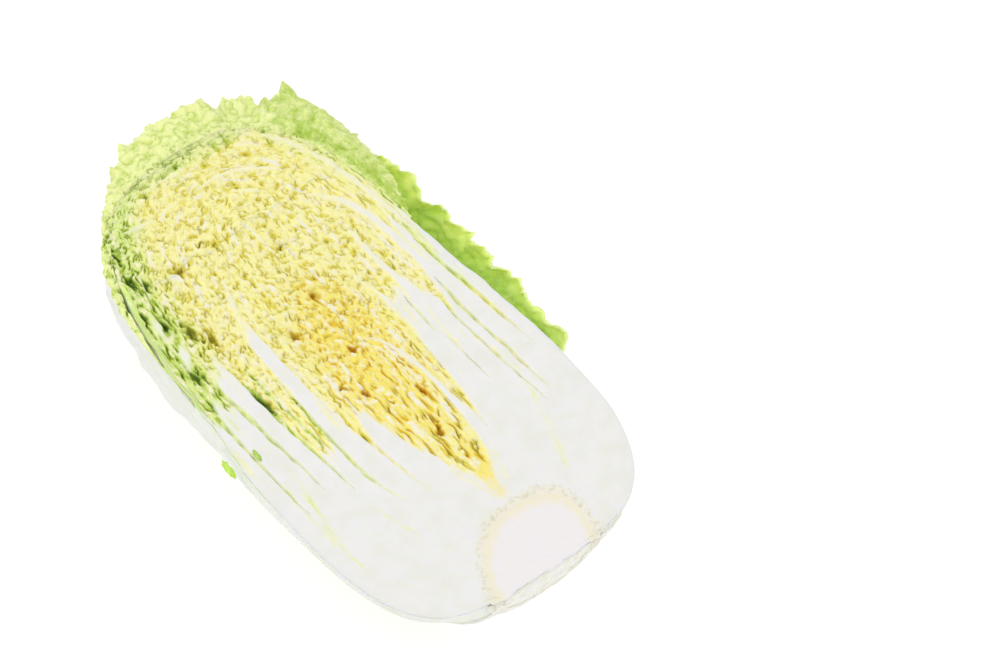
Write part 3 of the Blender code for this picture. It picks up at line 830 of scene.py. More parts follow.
# %% Green and gold
def greenness():
    """Green at the outside of the head, most on the left and at the tip, and beside the gaps and smears."""
    left = smooth(1, 0, FROM_LEFT / (34 - 5 * smooth(190, 235, Y))) * smooth(100, 165, Y)
    tip = smooth(250, 280, Y + 5 * ripple(55, X, Y, 9, 9))
    right = (0.75 - 0.4 * smooth(150, 200, Y)) * smooth(16, 2, FROM_RIGHT) * smooth(100, 150, Y)
    gaps = halo * (0.55 + 0.4 * smooth(-20, -35, X)) * smooth(22, 36, np.abs(X))
    return np.max([left, tip, right, gaps, smear * smooth(12, 26, np.abs(X))], axis=0)


def ochre_wedge():
    """The ochre line up from the stump, which widens into the golden heart."""
    middle, width = 8.2 + 0.08 * (Y - 40), 3.4 + 0.12 * np.maximum(Y - 36, 0)
    line = bump(X + 1.5 * ripple(85, X, Y, 3, 9), middle, width)
    return line * smooth(33, 44, Y) * smooth(92, 62, Y)


green, ochre = greenness(), ochre_wedge()
gold = np.maximum(1 - smooth(0.25, 1.05, np.hypot((X - 4) / 34, (Y - 130) / 82)), ochre)
tell("shares of the grid that are green and gold", green.mean(), gold.mean())


# %% Cut face
def cut_face():
    """Heights and values of the whole cut face: the crumple where nothing solid is, less gaps, pits and the line
    round the stump. At the tip the border sinks under the frill."""
    border = np.minimum(FROM_LEFT, FROM_RIGHT)
    to_tip = rows_y[-1] - Y
    smooth_rim = smooth(1.6, 0.5, np.minimum(border, to_tip * 0.7)) * smooth(235, 205, Y)
    flat = smooth(0.15, 0.85, np.maximum(solid, smooth_rim * 0.9))
    broken = 0.55 + 0.45 * ripple(12, X, Y, 2, 5)
    height = np.maximum(CURLY - 3 * pit, -4.6) * (1 - flat)
    height = height - 2 * gap * broken * (0.4 + 0.6 * flat) * smooth(55, 95, Y)
    height = height - 0.25 * rim * smooth(0, 0.5, ripple(11, X, Y, 1.3, 1.3))
    height = height - 0.3 * smooth(1.6, 0.2, np.minimum(border, to_tip)) * smooth(235, 250, Y)
    seam = np.max([halo * 0.75, ochre * (0.5 + 0.3 * smooth(50, 60, Y)), smear * 0.8], axis=0)
    band = 0.62 * BAND * (1 - flat) * (1 - 0.8 * green)
    return height, dict(
        rib=np.maximum(white * (1 - seam), band), green=green, gold=gold, core=core, rim=rim,
        # How far under the cut plane a point lies, which the finish paints as shade.
        depth_and_shade=np.clip(-height / 3, 0, 1), pit=np.clip(pit * 1.3, 0, 1) * (1 - flat),
        frill=0.6 * smooth(250, 272, Y + 4 * ripple(56, X, Y, 7, 7)),
        vein=np.maximum(PALE, beside) * (1 - flat),
    )


HEIGHT, FACE_VALUES = cut_face()
tell("cut face from and to, mm", HEIGHT.min(), HEIGHT.max())

# %% [markdown]
# ## Slabs
# The grid of heights becomes thick slabs, so that each piece is closed and the light can scatter in it. A single
# slab would be too heavy a mesh, so it is split across the head in two, whose tops meet point by point. The
# sides slope inwards under the face, which keeps them clear of the outer leaves round them.

# %% Make the slabs
SLAB_DEPTH, SLAB_SLOPE = 7.0, 8.0
LIP_DEPTH, LIP_INSET = 1.6, 0.3


def make_slab(name, first, last):
    """One slab: its top from the grid, a short steep lip, a sloping side, and a bottom that fans out from its
    middle."""
    top = np.stack([X[first:last], Y[first:last], HEIGHT[first:last]], axis=-1)
    numbers = np.arange(top.shape[0] * top.shape[1]).reshape(top.shape[:2])
    loop = np.concatenate([numbers[0, :-1], numbers[:-1, -1], numbers[-1, :0:-1], numbers[:0:-1, 0]])
    flat = top.reshape(-1, 3)
    outline, outline_height = flat[loop][:, :2], flat[loop][:, 2:]
    middle = np.array([outline[:, 0].mean(), (rows_y[first] + rows_y[last - 1]) / 2, -SLAB_DEPTH])
    inwards = middle[:2] - outline
    distance = np.linalg.norm(inwards, axis=1, keepdims=True)
    lip = np.concatenate([outline + inwards / distance * LIP_INSET, outline_height - LIP_DEPTH], axis=1)
    lower = np.full((len(loop), 3), -SLAB_DEPTH)
    lower[:, :2] = outline + inwards / distance * np.minimum(SLAB_SLOPE, distance * 0.5)
    points = np.concatenate([flat, lip, lower, middle[None]])
    upper = len(flat) + np.arange(len(loop))
    ring = upper + len(loop)
    centre = np.full(len(loop), len(points) - 1)
    after = np.roll(np.arange(len(loop)), -1)
    side = np.concatenate([
        np.stack([high, low, low[after], high[after]], axis=1) for high, low in ((loop, upper), (upper, ring))
    ])
    base = np.stack([ring, ring[after], centre, centre], axis=1)
    parts = {key: value[first:last].ravel() for key, value in FACE_VALUES.items()}
    values = {key: np.concatenate([part, part[loop], part[loop], [0]]) for key, part in parts.items()}
    hard = np.zeros(len(points), bool)
    hard[loop] = True
    return make_piece(name, points, np.concatenate([grid_faces(numbers), side, base]), SLICED, values, hard)


seam_row = int(np.searchsorted(rows_y, SEAM_Y))
slabs = [make_slab("cut_face_base", 0, seam_row + 1), make_slab("cut_face_top", seam_row, len(rows_y))]

# %% [markdown]
# ## The frilled tips
# Past the cut the tips of the outer leaves stand out as a crumpled lime frill, still whole, because the knife went
# over them. A sheet of their own carries on the crumple of the cut face, with the same heights where they meet,
# and falls away to a ragged margin. Its two long borders are drawn as lines. Rows run along them, and columns
# go across from one to the other. Teeth of three sizes roughen the margin, a few single lobes and notches stand
# where this head has them, and on the right the frill is calmer: broad folds instead of small curls.

# %% Borders of the frill
FRILL_IN = [
    (-70.6, 160), (-69.8, 180), (-67.8, 200), (-64, 220), (-57.5, 238.4), (-47.4, 254.8), (-38.2, 263),
    (-27.6, 268.6), (-14, 271), (0, 271.6), (10, 271.3), (17, 270.2), (23, 268.6), (26, 267.5),
    (29.4, 265.8), (33.4, 262.9), (37.8, 259.2), (42.2, 254), (46.4, 248), (49.6, 242), (52.2, 236),
    (54.6, 229.4), (57.8, 215.6), (60.2, 199), (62, 180),
]
FRILL_OUT = [
    (-70.8, 160), (-70.3, 180), (-69.6, 201), (-67.4, 222), (-61.6, 240), (-52.2, 254.6), (-41, 268),
    (-26.5, 282), (-14, 289.5), (0, 292), (11, 291.5), (21, 291.5), (30, 290), (35, 284), (41, 281),
    (47.5, 279), (52, 273), (58.5, 273), (65.5, 275.5), (70.5, 262), (74.5, 248), (76, 232), (74, 214),
    (70, 197), (64, 180),
]
FRILL_LOBES = [(-13.5, 3.5, 1.6), (64.5, 6, 1.9), (33.5, -8, 1.9), (50.5, -7, 1.2)]
FRILL_TEETH = [(500, 2.2, 6, 1), (501, 1.6, 2.6, 1), (502, 0.8, 1.2, 1)]


def matched_lines(inner, outer, count):
    """Both borders at the same share of the way between their drawn points, so that columns stay straight."""
    knots = np.arange(len(inner))
    fine = np.linspace(0, len(inner) - 1, 40 * len(inner))
    lines = []
    for points in (inner, outer):
        points = np.array(points, float)
        coarse = np.stack([np.interp(fine, knots, points[:, k]) for k in (0, 1)], axis=-1)
        kernel = np.hanning(41) / np.hanning(41).sum()
        padded = np.concatenate([np.repeat(coarse[:1], 20, 0), coarse, np.repeat(coarse[-1:], 20, 0)])
        lines.append(np.stack([np.convolve(padded[:, k], kernel, "valid") for k in (0, 1)], axis=-1))
    run = np.concatenate([[0], np.cumsum(np.hypot(*np.diff(lines[1] + lines[0], axis=0).T))])
    at = np.interp(np.linspace(0, run[-1], count), run, np.arange(len(run)))
    return [np.stack([np.interp(at, np.arange(len(run)), line[:, k]) for k in (0, 1)], axis=-1) for line in lines]


def frill_grid(columns, rows):
    """x and y of the frill, the distance from its inner border and from its margin, and the run along the margin."""
    inner, outer = matched_lines(FRILL_IN, FRILL_OUT, columns)
    span = np.linalg.norm(outer - inner, axis=1)
    along = np.concatenate([[0], np.cumsum(np.hypot(*np.diff(outer, axis=0).T))])
    teeth = ripples(along, 0, *FRILL_TEETH) * smooth(1, 8, span)
    lobes = sum(size * bump(outer[:, 0], x, width) for x, size, width in FRILL_LOBES)
    reach = np.maximum(span + teeth + lobes * (outer[:, 1] > 262), 0.3)
    distance = reach * np.linspace(0, 1, rows)[:, None]
    spot = inner + (outer - inner) / np.maximum(span, 0.1)[:, None] * distance[..., None]
    return spot[..., 0], spot[..., 1], distance, reach - distance, along


tell("length of the frill's margin, mm", frill_grid(620, 2)[4][-1])


# %% Frilled tips
def make_frill(columns, rows):
    """A crumpled sheet from the rim of the cut face to the ragged margin of the leaf tips. Over the first 7 mm the
    crumple of the cut face gives way to waves and domes, and the sheet falls with distance and its square."""
    x, y, distance, edge, along = frill_grid(columns, rows)
    curly, vein, _ = crumpled(x, y, level_of(x, y))
    calm = smooth(38, 56, x)
    loose = smooth(0, 7, distance)
    ruffle = ripple(510, along, distance, 7, 16) + 0.45 * ripple(511, along, distance, 3.2, 7)
    waves = 2.8 * ruffle * (1 - 0.35 * calm) + 1.5 * ripple(514, x, y, 4.4, 4.4) * (1 - 0.7 * calm)
    waves = waves + 1.3 * ripple(516, along, distance, 24, 4.5) * calm
    domes = [np.sqrt(np.abs(ripple(seed, x, y, size, size))) for seed, size in ((512, 5.4), (513, 2.2), (515, 10))]
    domes = (0.75 * domes[0] + 0.28 * domes[1]) * (1 - 0.65 * calm) + 0.5 * domes[2] * calm + 0.25

    height = curly * (1 - 0.75 * loose) + (waves + 1.5 * domes - 0.9) * loose
    height = height - 0.15 * distance - 0.005 * distance**2 - smooth(36, 50, x) * loose
    height = height - 0.012 * distance**2 * smooth(66, 76, x)
    height = np.minimum(height, -0.05 + 1.2 * loose) + 0.05
    thick = 0.5 + 0.7 * smooth(0, 3, edge) + 7.5 * smooth(8, 1, distance) * smooth(0, 4, edge)
    # Painted shade on the frill: darker between the domes, and on the calm right side near its inner border.
    shade = 0.75 - 0.75 * domes + calm * (0.15 + 0.28 * smooth(12, 2, distance))
    depth_and_shade = np.clip(-curly / 3, 0, 1) * (1 - 0.7 * loose) + shade * loose
    zero = np.zeros_like(x)
    values = dict(rib=zero, gold=zero, core=zero, rim=zero, pit=zero, green=0.6 + 0.3 * loose,
                  depth_and_shade=np.clip(depth_and_shade, 0, 1), vein=vein * (1 - loose),
                  frill=np.clip(0.6 + 0.4 * loose, 0, 1) * (1 - 0.2 * calm * smooth(9, 3, distance)))
    face, back = (np.stack([x, y, z], axis=-1) for z in (height, height - thick))
    return make_sheet("frilled_tips", face, back, SLICED, values, values)


frill = make_frill(620, 60)

# %% [markdown]
# ## The outer leaves
# A leaf is a sheet with a thick, ribbed, white middle that thins to a green blade. Its outer and inner face are
# the same grid at two depths. Each leaf starts on the stem, follows the barrel, gives room to the leaves outside
# it, and leans away from the head at its tip. The outermost one also opens on the right, beside the cut face.
# The left and right outer leaves were cut by the same knife, so their upper edges lie in the cut plane, sunk by a
# hair so that the sliced face lies over them.

# %% Places of the outer leaves
BOTTOM, LEFT, RIGHT, TIP = range(4)  # from the outermost inwards
CENTRES = [285, 147.5, 370, 232.5]
TIP_TRAVEL = [0.85, 0.925, 0.94, 0.975]
LEAN = [1, 0.32, 0.45, 0.26]
RIB_WIDTH = [44, 100, 62, 46]
BLADE, ROOM, STALK_TRAVEL = 0.9, 2.7, 0.122


def half_angle(number, travel):
    """Half the angle that a leaf spans: a narrow stalk, a wide blade and a rounded tip."""
    end = TIP_TRAVEL[number]
    wide, tip = (0, 20) if number == BOTTOM else (36, 22)
    stalk = 11 * smooth(0.40, 0.20, travel) if number == LEFT else 0
    return 60 + stalk + wide * smooth(0.16, 0.45, travel) - tip * smooth(end - 0.22, end, travel)


def rib_thickness(number, travel, turn):
    """What the midrib adds to the blade: a crescent across that fades towards the tip."""
    share = number / 11
    spread = 62 - 26 * smooth(0.15, 0.5, travel)
    length = 1 - smooth(0.36, 0.88 - 0.18 * share, travel)
    return (12 - 4 * share) * bump(turn, CENTRES[number], spread) * length


def depth_under(count, travel, turn):
    """Share of the radius that the first few leaves take up, where they reach."""
    total = 0 * travel * turn
    for i in range(count):
        past = np.abs(turn - CENTRES[i]) - half_angle(i, travel)
        window = smooth(13, 2, past) * smooth(0.07, 0.01, travel - TIP_TRAVEL[i])
        total = total + (rib_thickness(i, travel, turn) + ROOM) / HALF_WIDTH * window
    return total


def lean(number, travel, turn):
    """How far a leaf leans out, in levels: at its tip, and for the outermost beside the right edge."""
    tip = 0.34 * smooth(0.66, 0.86 if number == RIGHT else 0.95, travel)
    side = 0.24 * smooth(0.30, 0.46, travel) + 0.16 * smooth(0.55, 0.85, travel)
    side = side * smooth(298, 345, turn) * (number == BOTTOM)
    tip = tip * smooth(184, 212, turn) if number == LEFT else tip
    return LEAN[number] * np.maximum(tip, side)


def even_travel(first, last, rows, weight=None):
    """Travels at even distances along the barrel's profile, or closer together where the weight is larger."""
    travel = np.linspace(first, last, 2000)
    steps = np.hypot(*np.diff(barrel(1, travel), axis=1))
    steps = steps if weight is None else steps * weight(travel[1:])
    run = np.concatenate([[0], np.cumsum(steps)])
    return np.interp(np.linspace(0, run[-1], rows), run, travel)


tell("thickness of the outermost leaf's rib near its base, mm", rib_thickness(BOTTOM, 0.2, 285))

# %% [markdown]
# ## Veins and blisters
# The midrib gives off side veins that run outwards and towards the tip and fork on the way, and between them a net
# of fine veins ties the blade down, so that it puffs up in blisters. The side veins are the contours of a slanted
# coordinate, distance along the leaf less distance from the midrib. The net is where a smooth noise crosses zero,
# and the blisters are the square root of its size, round on top and creased at the net.


# %% Surface of a leaf
def midrib(number, travel, side, length, sliced):
    """1 on the white rib: narrower and more ragged towards the tip, and across the whole leaf at its base."""
    seed = 200 + 10 * number
    share = smooth(0.55, 1, travel) if number == LEFT else smooth(0.08, 0.80, travel)
    width = RIB_WIDTH[number] * (1 - share) + 2.5
    uneven = ripples(side, length, (seed, 6, 9, 34), (seed + 1, 2, 3, 12))
    rib = 1 - smooth(width - 7, width + 6, np.abs(side) + uneven * smooth(0.2, 0.5, travel))
    rib = np.maximum(rib, 1 - smooth(0.17, 0.30, travel + 0.03 * uneven / 6))
    if number == LEFT:
        rib = np.where(travel > 0.42, rib * smooth(0, 0.25, sliced), rib)
    if number == RIGHT:
        rib = rib * smooth(0.72, 0.58, travel + 0.004 * uneven)
    return rib, width, share


def side_veins(seed, travel, side, length, width):
    """Main side veins 27 mm apart, and finer broken ones 9 mm apart that branch from them."""
    slant = length - 1.2 * np.maximum(np.abs(side) - 0.6 * width, 0)
    slant = slant + 15 * ripple(seed + 2, side, length, 30, 34) + 2 * ripple(seed + 7, side, length, 9, 9)
    fork = slant / 9 + 0.9 * ripple(seed + 8, side, length, 14, 14)
    slant = slant / 27 + 0.5 * (side > 0)
    away = np.abs(slant - np.round(slant)) * 27 / 1.6
    main = bump(away, 0, 1.7 - 1.1 * smooth(5, 65, np.abs(side)))
    main = main * smooth(0.25, 0.45, travel) * (1 - 0.6 * smooth(60, 95, np.abs(side)))
    forks = bump(np.abs(fork - np.round(fork)) * 9, 0, 0.55)
    forks = forks * smooth(-0.1, 0.3, ripple(seed + 9, side, length, 12, 12)) * smooth(0.30, 0.5, travel)
    return main, forks


def leaf_surface(number, travel, turn):
    """Relief of both faces, extra relief of the outer one, and the values that the finish reads. Along the knife's
    cut the relief fades, so that the edge stays straight."""
    seed = 200 + 10 * number
    radius = outer_radius(travel)
    side = np.radians(turn - CENTRES[number]) * radius
    length = 330 * travel
    sliced = smooth(0, 5, radius * np.abs(np.sin(np.radians(turn)))) if number in (LEFT, RIGHT) else 1
    rib, width, share = midrib(number, travel, side, length, sliced)
    main, forks = side_veins(seed, travel, side, length, width)
    twist = 1.6 * ripple(seed + 3, side, length, 11, 11)
    coarse = ripple(seed + 4, side / 8 + twist, length / 9 - twist)
    fine = ripple(seed + 5, side / 3.6 - twist, length / 3.9 + twist)
    net = np.maximum(bump(coarse, 0, 0.10), 0.55 * bump(fine, 0, 0.12))
    blade = (1 - rib) * smooth(0.22, 0.42, travel)
    domes = 1.5 * np.sqrt(np.abs(coarse)) + 0.7 * np.sqrt(np.abs(fine)) - 1
    both = shared_wave(travel, turn) + 1.3 * domes * blade * sliced
    ridges = np.cos(2 * np.pi * (side + 0.8 * ripple(seed + 6, side, length, 10, 60)) / (8.5 - 3 * share))
    stripes = ridges * rib * smooth(0.13, 0.25, travel) * smooth(0.85, 0.5, travel)
    outer = (0.32 * stripes + 0.55 * main * (1 - 0.5 * rib) + (0.18 * net + 0.2 * forks) * blade) * sliced
    vein = np.clip(np.maximum(np.maximum(main, 0.7 * forks), 0.5 * net) * blade, 0, 1)
    # The crease value is largest between the blisters, where the finish paints shade.
    return both, outer, dict(rib=rib, vein=vein, crease=np.clip(0.6 - 0.45 * domes, 0, 1) * blade)


spot_travel, spot_turn = np.full((2, 2), 0.5), np.full((2, 2), 230.0)
print("a leaf carries the values", list(leaf_surface(TIP, spot_travel, spot_turn)[2]))

# %% [markdown]
# ## Margins and curls
# A leaf's margin is toothed at three sizes, and where it stands free it curls in waves that die away inwards: more
# tissue grows at the margin than fits into its length. The rows of a leaf's grid run from margin to margin and its
# columns up to the toothed tip, so teeth and tip need no cutting of the mesh.


# %% Margins
def margin_line(number, share, side):
    """How far the toothed margin swings in or out, in millimetres: three sizes of teeth. Side 0 is the tip."""
    seed = 300 + 7 * number + side
    where = share * (85 if side == 0 else 290)
    return ripples(where, 0, (seed, 3.4, 17, 1), (seed + 1, 1.3, 5.5, 1), (seed + 2, 0.8, 2.3, 1))


def leaf_grid(number, up_row, t, first_turn, last_turn):
    """Travel and turn of each point, and the turn of the right margin. The knife's cut keeps the turns between the
    first and the last, and the tips of the cut leaves slope away from it."""
    tip = TIP_TRAVEL[number]
    end = tip + margin_line(number, t, 0) / 330 - 0.05 * np.abs(2 * t - 1) ** 5 * (number != TIP)
    end = end - 0.15 * smooth(0.72, 1, t) * (number == RIGHT) - 0.16 * smooth(0.35, 0, t) * (number == LEFT)
    travel = STALK_TRAVEL + (end - STALK_TRAVEL) * up_row
    half = half_angle(number, travel)
    radius = outer_radius(travel)
    teeth = np.degrees(1 / np.maximum(radius, 20)) * smooth(0.25, 0.45, travel)
    sunk = np.degrees(0.2 / np.maximum(radius, 20))
    low = np.maximum(CENTRES[number] - half + teeth * margin_line(number, up_row, 1), first_turn(travel) + sunk)
    high = np.minimum(CENTRES[number] + half + teeth * margin_line(number, up_row, 2), last_turn(travel) - sunk)
    return travel, low + (high - low) * t, high


def margin_curl(number, up_row, across, to_side, to_tip):
    """Waves along the free margins, in three sizes, each dying away over its own distance."""
    curl = 0 * across
    for size, reach, height in ((17, 14, 3.4), (7.5, 8, 1.7), (3.4, 4, 0.6)):
        if number == BOTTOM:
            curl = curl + height * np.exp(-to_side / reach) * ripple(430, up_row * 300 / size * 1.6, to_side / size)
        curl = curl + height * np.exp(-to_tip / reach) * ripple(400 + number, across / size * 1.6, to_tip / size)
    return curl


tell("teeth of a margin from lowest to highest, mm", np.ptp(margin_line(TIP, np.linspace(0, 1, 400), 1)))


# %% Outer leaves
def make_leaf(number, name, rows, columns, first_turn=lambda travel: 180, last_turn=lambda travel: 360,
              weight=None):
    """One outer leaf: its grid, its relief and curls, and its inner face at the thickness of rib and blade, which
    the knife's cut pares down to a thin edge."""
    t = np.linspace(0, 1, columns)[None, :]
    even = even_travel(STALK_TRAVEL, TIP_TRAVEL[number], rows, weight)[:, None]
    up_row = (even - STALK_TRAVEL) / (TIP_TRAVEL[number] - STALK_TRAVEL)
    travel, turn, high = leaf_grid(number, up_row, t, first_turn, last_turn)
    radius = outer_radius(travel)
    level = 1 - depth_under(number, travel, turn)
    out = lean(number, travel, turn)
    both, outer, values = leaf_surface(number, travel, turn)

    to_side = (high - turn) * np.radians(radius) if number == BOTTOM else np.full_like(turn, 99)
    to_tip = (1 - up_row) * 300 + 0 * turn
    edge = np.minimum(to_side, to_tip)
    across = np.radians(turn - CENTRES[number]) * np.maximum(radius, 18)
    free_side = smooth(0.02, 0.12, out)
    both = both * (1 + 0.5 * free_side) + 1.5 * margin_curl(number, up_row, across, to_side, to_tip) * free_side
    thick = rib_thickness(number, travel, turn) + BLADE - 0.45 * np.exp(-edge / 3)
    if number in (LEFT, RIGHT):
        below_cut = radius * np.abs(np.sin(np.radians(turn)))
        both = both + 0.15 * smooth(6, 0, below_cut)
        thick = np.minimum(thick, 0.9 + 1.1 * below_cut + 90 * smooth(0.66, 0.70, travel))

    free = smooth(0, 0.15, out)
    face = place(level + out, travel, turn, both + outer, free)
    face[..., 2] = np.maximum(face[..., 2], -CUT_HEIGHT)
    back = place(level + out, travel, turn, both - thick, free)
    # The paler young colour near the free margins, raised on the inner face towards the tip, partly as painted light.
    # The finish also turns this value into a painted glow that stands in for light through the blade.
    lime_and_glow = np.exp(-edge / 30) * 0.8
    inner_lime_and_glow = np.maximum(lime_and_glow, 0.25 + 0.75 * smooth(0.5, 0.8, travel))
    shown, hidden = dict(values, lime_and_glow=0.8 * lime_and_glow), dict(values, lime_and_glow=inner_lime_and_glow, vein=values["vein"] * 0.6)
    return make_sheet(name, face, back, OUTER, shown, hidden)


def under_slab(travel):
    """The angle below the cut plane at which a leaf lies 7.6 mm under it, clear of the slabs."""
    radius = outer_radius(travel)
    return np.degrees(np.arcsin(np.clip(7.6 / (radius * 0.85), 0, 0.9)))


leaves = [
    make_leaf(BOTTOM, "outer_leaf_bottom", 270, 150),
    make_leaf(LEFT, "outer_leaf_left", 300, 72),
    make_leaf(RIGHT, "outer_leaf_right", 300, 84, last_turn=lambda travel: 360 - 8 * smooth(0.59, 0.68, travel)),
    make_leaf(TIP, "outer_leaf_tip", 190, 150, lambda travel: 180 + under_slab(travel),
              lambda travel: 360 - under_slab(travel), lambda travel: 0.25 + 0.75 * smooth(0.5, 0.62, travel)),
]

# %% [markdown]
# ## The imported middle
# Under the slabs the inner leaves fill the head. Nothing of them shows there, but the piece has to be whole, so
# one plain body follows the inside of the outer leaves and closes below the slabs.


# %% Packed middle
def make_middle():
    """A half barrel inside the outer leaves, flat on top, closed at both ends."""
    travel = even_travel(0.15, 0.965, 70)[:, None]
    turn = np.linspace(180, 360, 60)[None, :] + 0 * travel
    shell = place(0.95 - depth_under(len(leaves), travel, turn), travel + 0 * turn, turn)
    top = -SLAB_DEPTH - 0.5
    shell[..., 2] = np.minimum(shell[..., 2], top)
    lid = shell.copy()
    lid[..., 2] = top + 0.1
    values = dict(rib=0.4, vein=0, lime_and_glow=0.4, crease=0)
    return make_sheet("packed_middle", shell, lid, OUTER, values, values)


middle = make_middle()

# %% [markdown]
# ## The trimmed butt
# The grower cuts the head off at its stem. The cut end is a rough ivory disc with rings of olive and tan, where
# the sap dried and where the outermost stalks were pulled off. It is a turned solid, cut flat under the slab. Its
# profile starts at the disc's middle, rounds the edge and closes in a dome inside the head.


# %% Trimmed butt
def butt_profile():
    """Radius and distance along the axis: 46 points of disc, 4 of edge and 20 of dome."""
    dome = np.linspace(0.1, 1.5708, 20)
    radius = np.concatenate([np.linspace(0, 28.8, 46), [29.4, 30.1, 30.8, 31.5], 31.2 * np.cos(dome)])
    disc = BUTT_END - 0.3 + 0.3 * np.linspace(0, 1, 46) ** 2
    return radius, np.concatenate([disc, BUTT_END + np.array([0.3, 0.9, 1.8, 3]), 1.5 + 24 * np.sin(dome)])


def make_butt():
    """Half a turned stump with a rough end. Equal points are joined, and quads that shrink to a line dropped."""
    radius, along = butt_profile()
    turn = np.radians(np.linspace(180, 360, 121))[:, None]
    factor = squeeze(along, np.degrees(turn))
    x, z = radius * factor * np.cos(turn), radius * factor * np.sin(turn)
    rough = ripples(x, z, (90, 0.3, 5, 5), (91, 0.15, 1.8, 1.8))
    y = along + rough * smooth(0.8, -1, along) * smooth(0, 3, radius) * smooth(-0.3, -4, z)
    limit = -0.06 - 0.875 * np.maximum(y - FRONT_EDGE, 0) - np.maximum(FRONT_EDGE - y, 0)
    z = np.minimum(z, np.maximum(limit, -SLAB_DEPTH - 0.6))
    outside = np.stack([x, y, z], axis=-1)
    lid = outside[0] + (outside[-1] - outside[0]) * np.linspace(0, 1, 31)[:, None, None]
    points = np.concatenate([outside.reshape(-1, 3), lid.reshape(-1, 3)])
    first = np.arange(outside.shape[0] * outside.shape[1]).reshape(outside.shape[:2])
    second = first.size + np.arange(lid.shape[0] * lid.shape[1]).reshape(lid.shape[:2])
    quads = np.concatenate([grid_faces(first), grid_faces(second)[:, ::-1]])
    _, index, inverse = np.unique(np.round(points, 3), axis=0, return_index=True, return_inverse=True)
    points, quads = points[index], inverse.ravel()[quads]
    quads = quads[(np.diff(np.sort(quads, axis=1), axis=1) > 0).sum(axis=1) > 1]
    x, y, z = points.T
    r = np.hypot(x, z) / 30 + 0.03 * ripple(93, x, z, 4, 4)
    rings = bump(r, 0.80, 0.025) + 0.9 * bump(r, 0.96, 0.02) + 0.8 * bump(r, 0.88, 0.015) + 0.4 * bump(r, 0.55, 0.03)
    ring = rings * smooth(-0.5, 0.3, ripple(92, x, z, 6, 6)) * (y < 1)
    return make_piece("trimmed_butt", points, quads, BUTT, dict(ring=np.clip(ring, 0, 1)))


butt = make_butt()

# %% [markdown]
# ## Two scraps
# The knife left two small scraps of green blade on the head: one lies on the cut face near its left edge and one
# hangs on the white side below it. Each is a small blistered oval, thin at its rim. A square grid pressed into an
# ellipse keeps the mesh even, with no point where all columns meet.


# %% Scraps of blade
def make_scrap(name, spot, half_width, half_length, tilt):
    """An oval sheet round a spot, tilted outwards: squares of a grid pressed into an ellipse, domed in the middle."""
    a, b = np.meshgrid(np.linspace(-1, 1, 24), np.linspace(-1, 1, 40), indexing="ij")
    across, down = a * np.sqrt(1 - b**2 / 2), b * np.sqrt(1 - a**2 / 2)
    inside = np.clip(1 - across**2 - down**2, 0, 1)
    uneven = 1 + 0.25 * ripple(601, across * 1.7, down * 2.4)
    x, y = half_width * across * uneven, half_length * down * uneven + 0.3 * half_width * across
    rise = 0.35 * ripple(602, x, y, 1.6, 1.6) + 0.5 * inside
    cos, sin = np.cos(np.radians(tilt)), np.sin(np.radians(tilt))
    face = spot + np.stack([x * cos - rise * sin, y, x * sin + rise * cos], axis=-1)
    back = face + np.array([sin, 0, -cos]) * (0.15 + 0.7 * np.sqrt(inside))[..., None]
    # Painted shade: the crease value darkens the scrap where it sinks.
    values = dict(rib=0, vein=0, lime_and_glow=0, crease=np.clip(0.8 - rise, 0, 1))
    return make_sheet(name, face, back, OUTER, values, values)


scraps = [
    make_scrap("scrap_on_cut", (-64.9, 123.7, 0.1), 1.1, 3.6, 0),
    make_scrap("scrap_on_side", (-76.6, 129, -7), 1.6, 5.6, 35),
]

# %% [markdown]
# ## Pieces and imported solids
# The head is one body with nothing that moves, so every piece rides with it. A piece that shows what a packed
# solid stands for replaces it, and the unseen middle replaces the heart and the inner leaves. The pieces are also
# listed under four colour slots, pale sliced leaf, green outer leaf, yellow heart and white stem, and the count of
# each is printed.

# %% Ride with the head and stand for its solids
slots = {"inner_leaf_pale": slabs, "outer_leaf_green": leaves + [frill] + scraps, "heart_yellow": [middle],
         "stem_white": [butt]}
for slot, pieces in slots.items():
    for piece in pieces:
        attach(piece, BODY)
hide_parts("stem")
for piece, node in zip(leaves + [frill], ("leaf_01", "leaf_02", "leaf_03", "leaf_04", "leaf_05")):
    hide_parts(node)
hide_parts("heart", *[f"leaf_{n:02d}" for n in range(6, 13)])
print("slots", {slot: len(pieces) for slot, pieces in slots.items()})

# %% [markdown]
# ## Ground and light
# The photograph has a plain white ground and soft light from all round, with barely a shadow. A bright world
# gives the soft light, a faintly glowing floor keeps the ground white, and two large square lamps, one stronger
# at the upper left, bring out the folds.


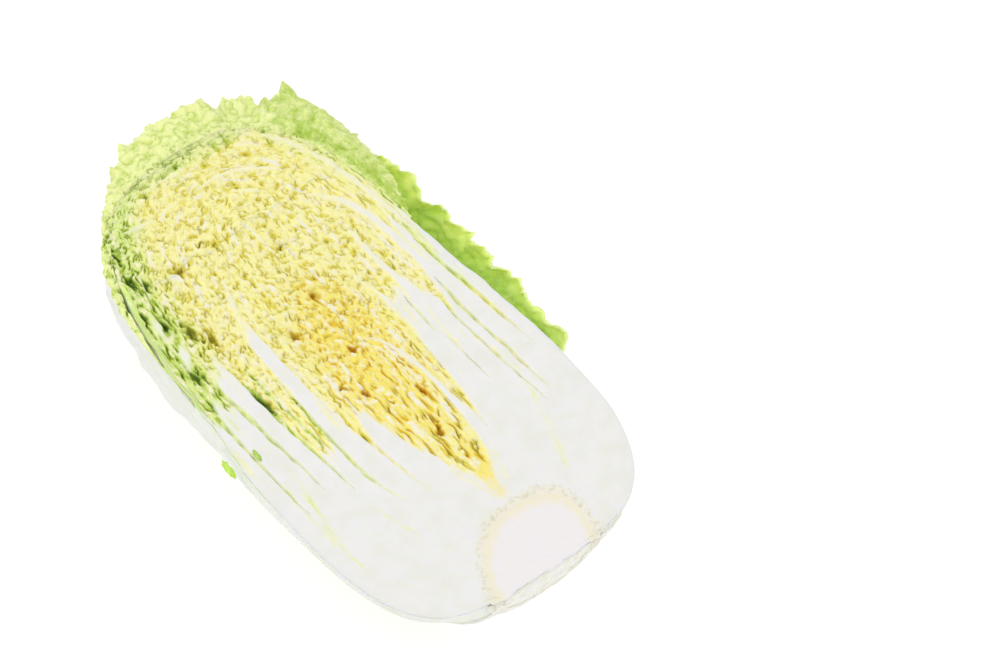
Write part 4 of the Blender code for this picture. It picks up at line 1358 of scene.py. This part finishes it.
# %% Stage
def softbox(name, spot, size, power, aim):
    """A square lamp at a spot that points at its aim."""
    light = bpy.data.lights.new(name, "AREA")
    light.shape, light.size, light.energy = "SQUARE", size, power
    item = bpy.data.objects.new(name, light)
    item.location = spot
    item.rotation_euler = (Vector(aim) - Vector(spot)).to_track_quat("-Z", "Y").to_euler()
    bpy.context.scene.collection.objects.link(item)


white_light = (1, 1, 1, 1)
ground = Paint("pale_floor", "909090", Roughness=0.6, Base_Color=colour("909090"), Emission_Color=white_light,
               Emission_Strength=0.78)
floor_mesh = bpy.data.meshes.new("floor")
floor_mesh.from_pydata([(-6, -6, 0), (6, -6, 0), (6, 6, 0), (-6, 6, 0)], [], [(0, 1, 2, 3)])
floor_mesh.materials.append(ground.material)
floor = bpy.data.objects.new("floor", floor_mesh)
bpy.context.scene.collection.objects.link(floor)

world = bpy.data.worlds.new("studio")
world.use_nodes = True
world.node_tree.nodes["Background"].inputs["Color"].default_value = white_light
world.node_tree.nodes["Background"].inputs["Strength"].default_value = 0.86
bpy.context.scene.world = world
softbox("key", (-0.9, 0.9, 1.5), 0.9, 7, (0, 0, 0.05))
softbox("fill", (0.9, -1, 1.3), 1.2, 3, (0, 0, 0.05))

# %% [markdown]
# ## Camera
# The photo looks down at 58 degrees from the front left, from so far away that parallel edges stay parallel. So
# the lens is very long and the camera as far off as makes the picture 0.44 m wide at the head. The colours are
# shown as they are, with no film look.

# %% Camera
AZIMUTH, ELEVATION = np.radians(-37.5), np.radians(58)
LENS, SENSOR, PICTURE_WIDTH = 800, 36, 0.4405
target = Vector((0.0517, -0.0333, 0.0722))
back = Vector((np.sin(AZIMUTH) * np.cos(ELEVATION), -np.cos(AZIMUTH) * np.cos(ELEVATION), np.sin(ELEVATION)))
camera_data = bpy.data.cameras.new("camera")
camera_data.lens, camera_data.sensor_width = LENS, SENSOR
camera = bpy.data.objects.new("camera", camera_data)
camera.location = target + back * (PICTURE_WIDTH * LENS / SENSOR)
camera.rotation_euler = back.to_track_quat("Z", "Y").to_euler()
bpy.context.scene.collection.objects.link(camera)
bpy.context.scene.camera = camera
bpy.context.scene.view_settings.view_transform = "Standard"
tell("camera away, m", camera.location.length)
